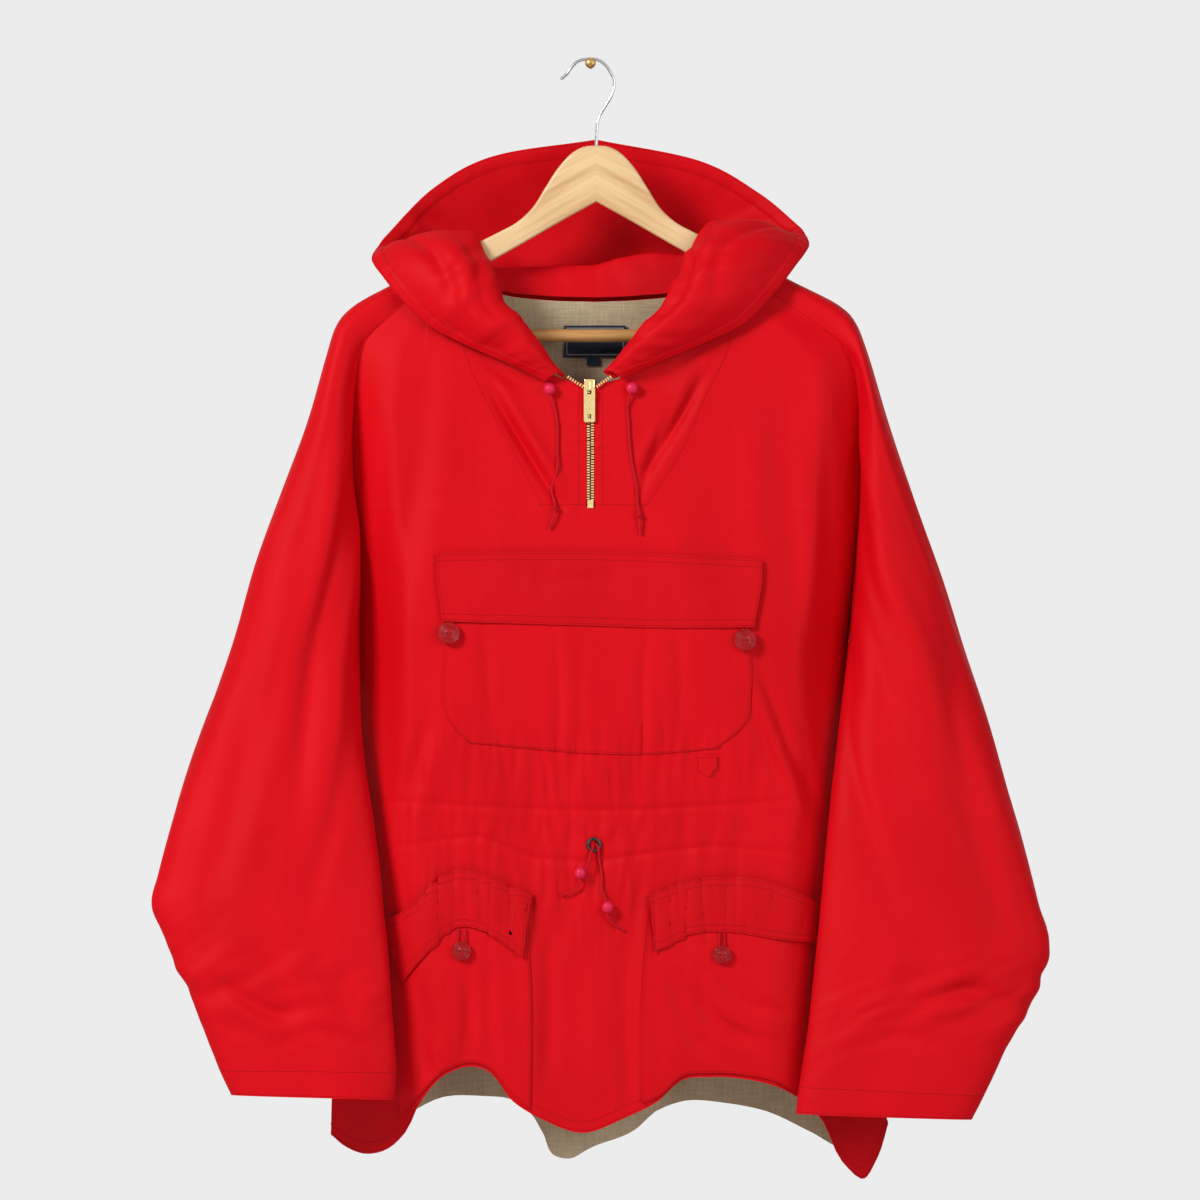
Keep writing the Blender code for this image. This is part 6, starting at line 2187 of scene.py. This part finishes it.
# ================================================================ hanger
@dataclass
class Hanger:
    """Flat wooden hanger with softened edges, its bar, the wire hook and the pin it hangs from."""

    finishes: Finishes
    nodes: dict[str, bpy.types.Object]
    middle: float = 5.2
    thick: float = 12.0
    edge: float = 2.4
    wire: float = 2.8
    pin_shank: float = 4.0
    pin_head: float = 9.7
    pin_back: float = 64.0

    def outline(self) -> list[tuple[float, float]]:
        """Closed outline in x and height, smooth along both arms.

        Returns:
            Points as x and height.
        """
        crown = along(HANGER_OUTER[:12], spread(70))
        tip = np.array(HANGER_OUTER[12:], dtype=float)
        inner = along(HANGER_INNER[:-1] + ((20, -138.5), (0, -127.5)), spread(30))
        half = np.concatenate([crown, tip, inner])
        right = [(self.middle + x, z) for x, z in half]
        left = [(self.middle - x, z) for x, z in half[1:-1]][::-1]
        return right + left

    def build(self) -> None:
        """All four pieces."""
        self.build_plate()
        line = along([(x, 0.0, z) for x, z in HOOK_POINTS], spread(220))
        hook = add_piece("hook_wire", tube_mesh("hook_wire", line, self.wire / 2, 16),
                         self.finishes["plated_wire"])
        self.fit(hook, "hanger_hook", "hook_wire")
        s, h = self.pin_shank / 2, self.pin_head / 2
        profile = [(0.0, 9.6), (h * 0.3, 9.5), (h * 0.6, 8.9), (h * 0.86, 7.8), (h * 0.98, 6.6), (h, 6.0),
                   (h * 0.95, 5.2), (h * 0.8, 4.5), (s, 4.0), (s, -self.pin_back), (0.0, -self.pin_back)]
        pin = lathe_mesh("pin_turned", profile, 48)
        place_mesh(pin, np.array([0, 0, -s - 0.3]), np.array([0.0, -1.0, 0.0]))
        self.fit(add_piece("pin_turned", pin, self.finishes["pin_brass"]), "wall_pin", "pin_brass")
        for place in self.nodes["hanger_bar"].material_slots:
            place.material = self.finishes["lacquered_dowel"]

    def fit(self, item: bpy.types.Object, node: str, slot: str) -> None:
        """Puts a piece on the hanger in place of its node.

        Args:
            item: The finished object.
            node: The node that it stands for.
            slot: The slot's name; not used.
        """
        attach(item, BODY)
        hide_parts(node)

    def build_plate(self) -> None:
        """The wooden plate, filled and softened by a bevelled curve."""
        curve = bpy.data.curves.new("hanger_outline", "CURVE")
        curve.dimensions = "2D"
        curve.fill_mode = "BOTH"
        curve.extrude = (self.thick / 2 - self.edge) * MM
        curve.bevel_depth = self.edge * MM
        curve.bevel_resolution = 5
        curve.offset = -self.edge * MM
        spline = curve.splines.new("POLY")
        outline = self.outline()
        spline.points.add(len(outline) - 1)
        for point, (x, z) in zip(spline.points, outline):
            point.co = (x * MM, z * MM, 0.0, 1.0)
        spline.use_cyclic_u = True
        holder = bpy.data.objects.new("hanger_outline", curve)
        bpy.context.scene.collection.objects.link(holder)
        graph = bpy.context.evaluated_depsgraph_get()
        mesh = bpy.data.meshes.new_from_object(holder.evaluated_get(graph))
        bpy.data.objects.remove(holder)
        for vert in mesh.vertices:
            vert.co = (vert.co.x, -vert.co.z, vert.co.y)
        work = bmesh.new()
        work.from_mesh(mesh)
        bmesh.ops.remove_doubles(work, verts=work.verts, dist=0.02 * MM)
        bmesh.ops.recalc_face_normals(work, faces=work.faces)
        work.to_mesh(mesh)
        work.free()
        mesh.shade_smooth()
        mesh.set_sharp_from_angle(angle=math.radians(35))
        self.fit(add_piece("hanger_plate", mesh, self.finishes["lacquered_birch"]), "hanger_wood", "birch")


# ================================================================ studio
@dataclass
class Studio:
    """Level long-lens camera, soft lights from the front and a plain pale surround."""

    aim: tuple[float, float, float] = (0.0086, -0.03, -0.487)
    far: float = 9.0
    lens: float = 300.0
    backdrop: str = "#ECECEC"
    world_light: float = 0.26

    def build_camera(self) -> None:
        """The scene's camera, made before any cloth is built."""
        data = bpy.data.cameras.new("long_lens")
        data.lens = self.lens
        data.sensor_width = 36.0
        data.clip_end = 50.0
        camera = bpy.data.objects.new("long_lens", data)
        bpy.context.scene.collection.objects.link(camera)
        camera.location = (self.aim[0], self.aim[1] - self.far, self.aim[2])
        camera.rotation_euler = (math.pi / 2, 0.0, 0.0)
        bpy.context.scene.camera = camera

    def build_world(self) -> None:
        """A pale surround that lights softly and shows as an even backdrop."""
        world = bpy.data.worlds.new("pale_surround")
        world.use_nodes = True
        nodes, links = world.node_tree.nodes, world.node_tree.links
        shown = nodes["Background"]
        shown.inputs["Color"].default_value = linear(self.backdrop)
        soft = nodes.new("ShaderNodeBackground")
        soft.inputs["Color"].default_value = linear("#FFFFFF")
        soft.inputs["Strength"].default_value = self.world_light
        kind = nodes.new("ShaderNodeLightPath")
        mix = nodes.new("ShaderNodeMixShader")
        seen = nodes.new("ShaderNodeMath")
        seen.operation = "MAXIMUM"
        links.new(kind.outputs["Is Camera Ray"], seen.inputs[0])
        links.new(kind.outputs["Is Glossy Ray"], seen.inputs[1])
        links.new(seen.outputs[0], mix.inputs[0])
        links.new(soft.outputs[0], mix.inputs[1])
        links.new(shown.outputs[0], mix.inputs[2])
        links.new(mix.outputs[0], nodes["World Output"].inputs["Surface"])
        bpy.context.scene.world = world
        bpy.context.scene.view_settings.view_transform = "Standard"

    def build_light(self, name: str, place: tuple[float, float, float], size: float, watts: float) -> None:
        """A soft square light that faces the garment's middle.

        Args:
            name: The lamp's name.
            place: Where it stands, in metres.
            size: Its side in metres.
            watts: Its power.
        """
        data = bpy.data.lights.new(name, "AREA")
        data.size = size
        data.energy = watts
        lamp = bpy.data.objects.new(name, data)
        bpy.context.scene.collection.objects.link(lamp)
        lamp.location = place
        lamp.rotation_euler = (Vector(self.aim) - Vector(place)).to_track_quat("-Z", "Y").to_euler()

    def build_floor(self) -> None:
        """A pale floor well below the hem."""
        mesh = lathe_mesh("floor_disc", [(0.0, -1300.0), (3500.0, -1300.0), (3500.0, -1310.0),
                                         (0.0, -1310.0)], 96)
        material, shader = blank_material("pale_floor")
        shader.inputs["Base Color"].default_value = linear("#E6E6E6")
        shader.inputs["Roughness"].default_value = 0.9
        add_piece("floor", mesh, material)

    def build(self) -> None:
        """World, lights and floor."""
        self.build_world()
        self.build_light("key", (-2.1, -2.3, 1.1), 1.0, 90.0)
        self.build_light("fill", (2.0, -2.6, 0.2), 1.8, 33.0)
        self.build_floor()


# ================================================================ assembly
POCKETS: tuple[PatchPiece, ...] = (
    PatchPiece("chest_pocket", (0.29, 0.165), 0.0425, edges=CHEST_POCKET, off=LAYER, puff=2.0,
               cells=(80, 130)),
    PatchPiece("chest_flap", (0.295, 0.07), 0.0184, finish="cotton_nylon_red_double", edges=CHEST_FLAP,
               off=2 * LAYER + 1.4, puff=1.2, cells=(36, 150), marks=FLAP_MARKS),
    PatchPiece("low_pocket_left", (0.135, 0.21), 0.0215, edges=LOW_POCKET_LEFT, off=LAYER + 0.5, puff=4.4,
               cells=(90, 64), marks=LOW_POCKET_LEFT_MARKS),
    PatchPiece("low_pocket_right", (0.155, 0.195), 0.0255, edges=LOW_POCKET_RIGHT, off=LAYER + 1.0, puff=4.4,
               cells=(90, 72), marks=LOW_POCKET_RIGHT_MARKS),
    PatchPiece("low_flap_left", (0.14, 0.10), 0.0068, finish="cotton_nylon_red_double", edges=LOW_FLAP_LEFT,
               off=2 * LAYER + 3.8, puff=1.4, cells=(34, 72)),
    PatchPiece("low_flap_right", (0.155, 0.065), 0.0068, finish="cotton_nylon_red_double",
               edges=LOW_FLAP_RIGHT,
               off=2 * LAYER + 3.8, puff=1.4, cells=(34, 80)),
    PatchPiece("loop_tab", (0.0145, 0.018), 0.00022, edges=LOOP_TAB, off=LAYER + 0.7, cells=(8, 8)),
)


def sew(stitching: Stitching, body: Body, insets: dict[int, Array], sleeves: dict[int, Sleeve],
        hood: dict[int, Array], pockets: dict[str, Array]) -> None:
    """Places every row of stitches.

    Args:
        stitching: Where the rows are gathered.
        body: The body.
        insets: Points of the inset halves, by side.
        sleeves: The sleeves, by side.
        hood: Points of the hood halves, by side.
        pockets: Points of the pocket pieces, by name.
    """
    stitching.add(body.lower_front, "b", 2.0, 10.0)
    stitching.add(body.back_points, "b", 2.0, 10.0)
    for line in (((-205, -666), (-100, -672), (0, -676), (150, -669), (215, -664)),
                 ((-205, -712), (-133, -702), (-106, -698), (-54, -718), (-26, -722), (115, -708),
                  (145, -710), (215, -720))):
        stitching.add_line(body.front, line)
    for line in (((-205, -672), (0, -678), (215, -670)), ((-205, -712), (0, -718), (215, -710))):
        stitching.add_line(body.back, line)
    stitching.add_line(body.front, ((-17, -411.5), (42, -411.5)))
    for side, grid in insets.items():
        stitching.add(grid, "l" if side < 0 else "r", 2.2)
        stitching.add(grid, "r" if side < 0 else "l", 7.0)
        stitching.add(grid, "b", 2.0)
    for side, sleeve in sleeves.items():
        stitching.add(sleeve.points, "b", 1.8, 24.0)
        upper = sleeve.points[:sleeve.last]
        stitching.add(upper, "l", 2.5)
        stitching.add(upper, "r", 2.5)
    for grid in hood.values():
        stitching.add(grid, "b", 1.6, 12.5)
    stitching.add(pockets["chest_pocket"], "b", 1.6)
    stitching.add(pockets["chest_pocket"], "l", 1.6)
    stitching.add(pockets["chest_pocket"], "r", 1.6)
    stitching.add(pockets["chest_flap"], "t", 1.6, 7.0)
    stitching.add(pockets["chest_flap"], "b", 1.8, 7.0)
    stitching.add(pockets["chest_flap"], "l", 1.8)
    stitching.add(pockets["chest_flap"], "r", 1.8)
    for side in ("left", "right"):
        for edge in "lrb":
            stitching.add(pockets["low_pocket_" + side], edge, 1.6)
        stitching.add(pockets["low_flap_" + side], "t", 1.6, 7.0)
        stitching.add(pockets["low_flap_" + side], "b", 1.8, 6.5)
        for edge in "lr":
            stitching.add(pockets["low_flap_" + side], edge, 1.8)
    stitching.add(pockets["loop_tab"], "t", 2.0)
    stitching.build()


def main() -> None:
    """Builds the visual model in order."""
    logging.basicConfig(level=logging.INFO, format="%(name)s %(message)s")
    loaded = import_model()
    studio = Studio()
    studio.build_camera()
    finishes = Finishes()
    finishes.build()
    front, back = BodyFace(True, FRONT_MARKS), BodyFace(False, BACK_MARKS)
    trims = Trims(finishes, front, back, loaded["nodes"])
    LOG.info("cords and trims")
    trims.build_cords()
    trims.build_buttons()
    trims.build_zip()
    trims.build_label()
    LOG.info("cloth")
    body = Body(finishes, front, back)
    body.build_front()
    body.build_back()
    insets = {side: body.build_inset(side) for side in (-1, 1)}
    sleeves = {-1: Sleeve(-1, SLEEVE_LEFT, finishes, SLEEVE_LEFT_MARKS),
               1: Sleeve(1, SLEEVE_RIGHT, finishes, SLEEVE_RIGHT_MARKS)}
    for sleeve in sleeves.values():
        sleeve.build()
    hood = Hood(finishes, front, back, HOOD_MARKS).build()
    pockets = {piece.name: piece.build(front, finishes) for piece in POCKETS}
    LOG.info("hanger")
    Hanger(finishes, loaded["nodes"]).build()
    LOG.info("stitches")
    sew(Stitching(finishes), body, insets, sleeves, hood, pockets)
    studio.build()


if __name__ == "__main__":
    main()
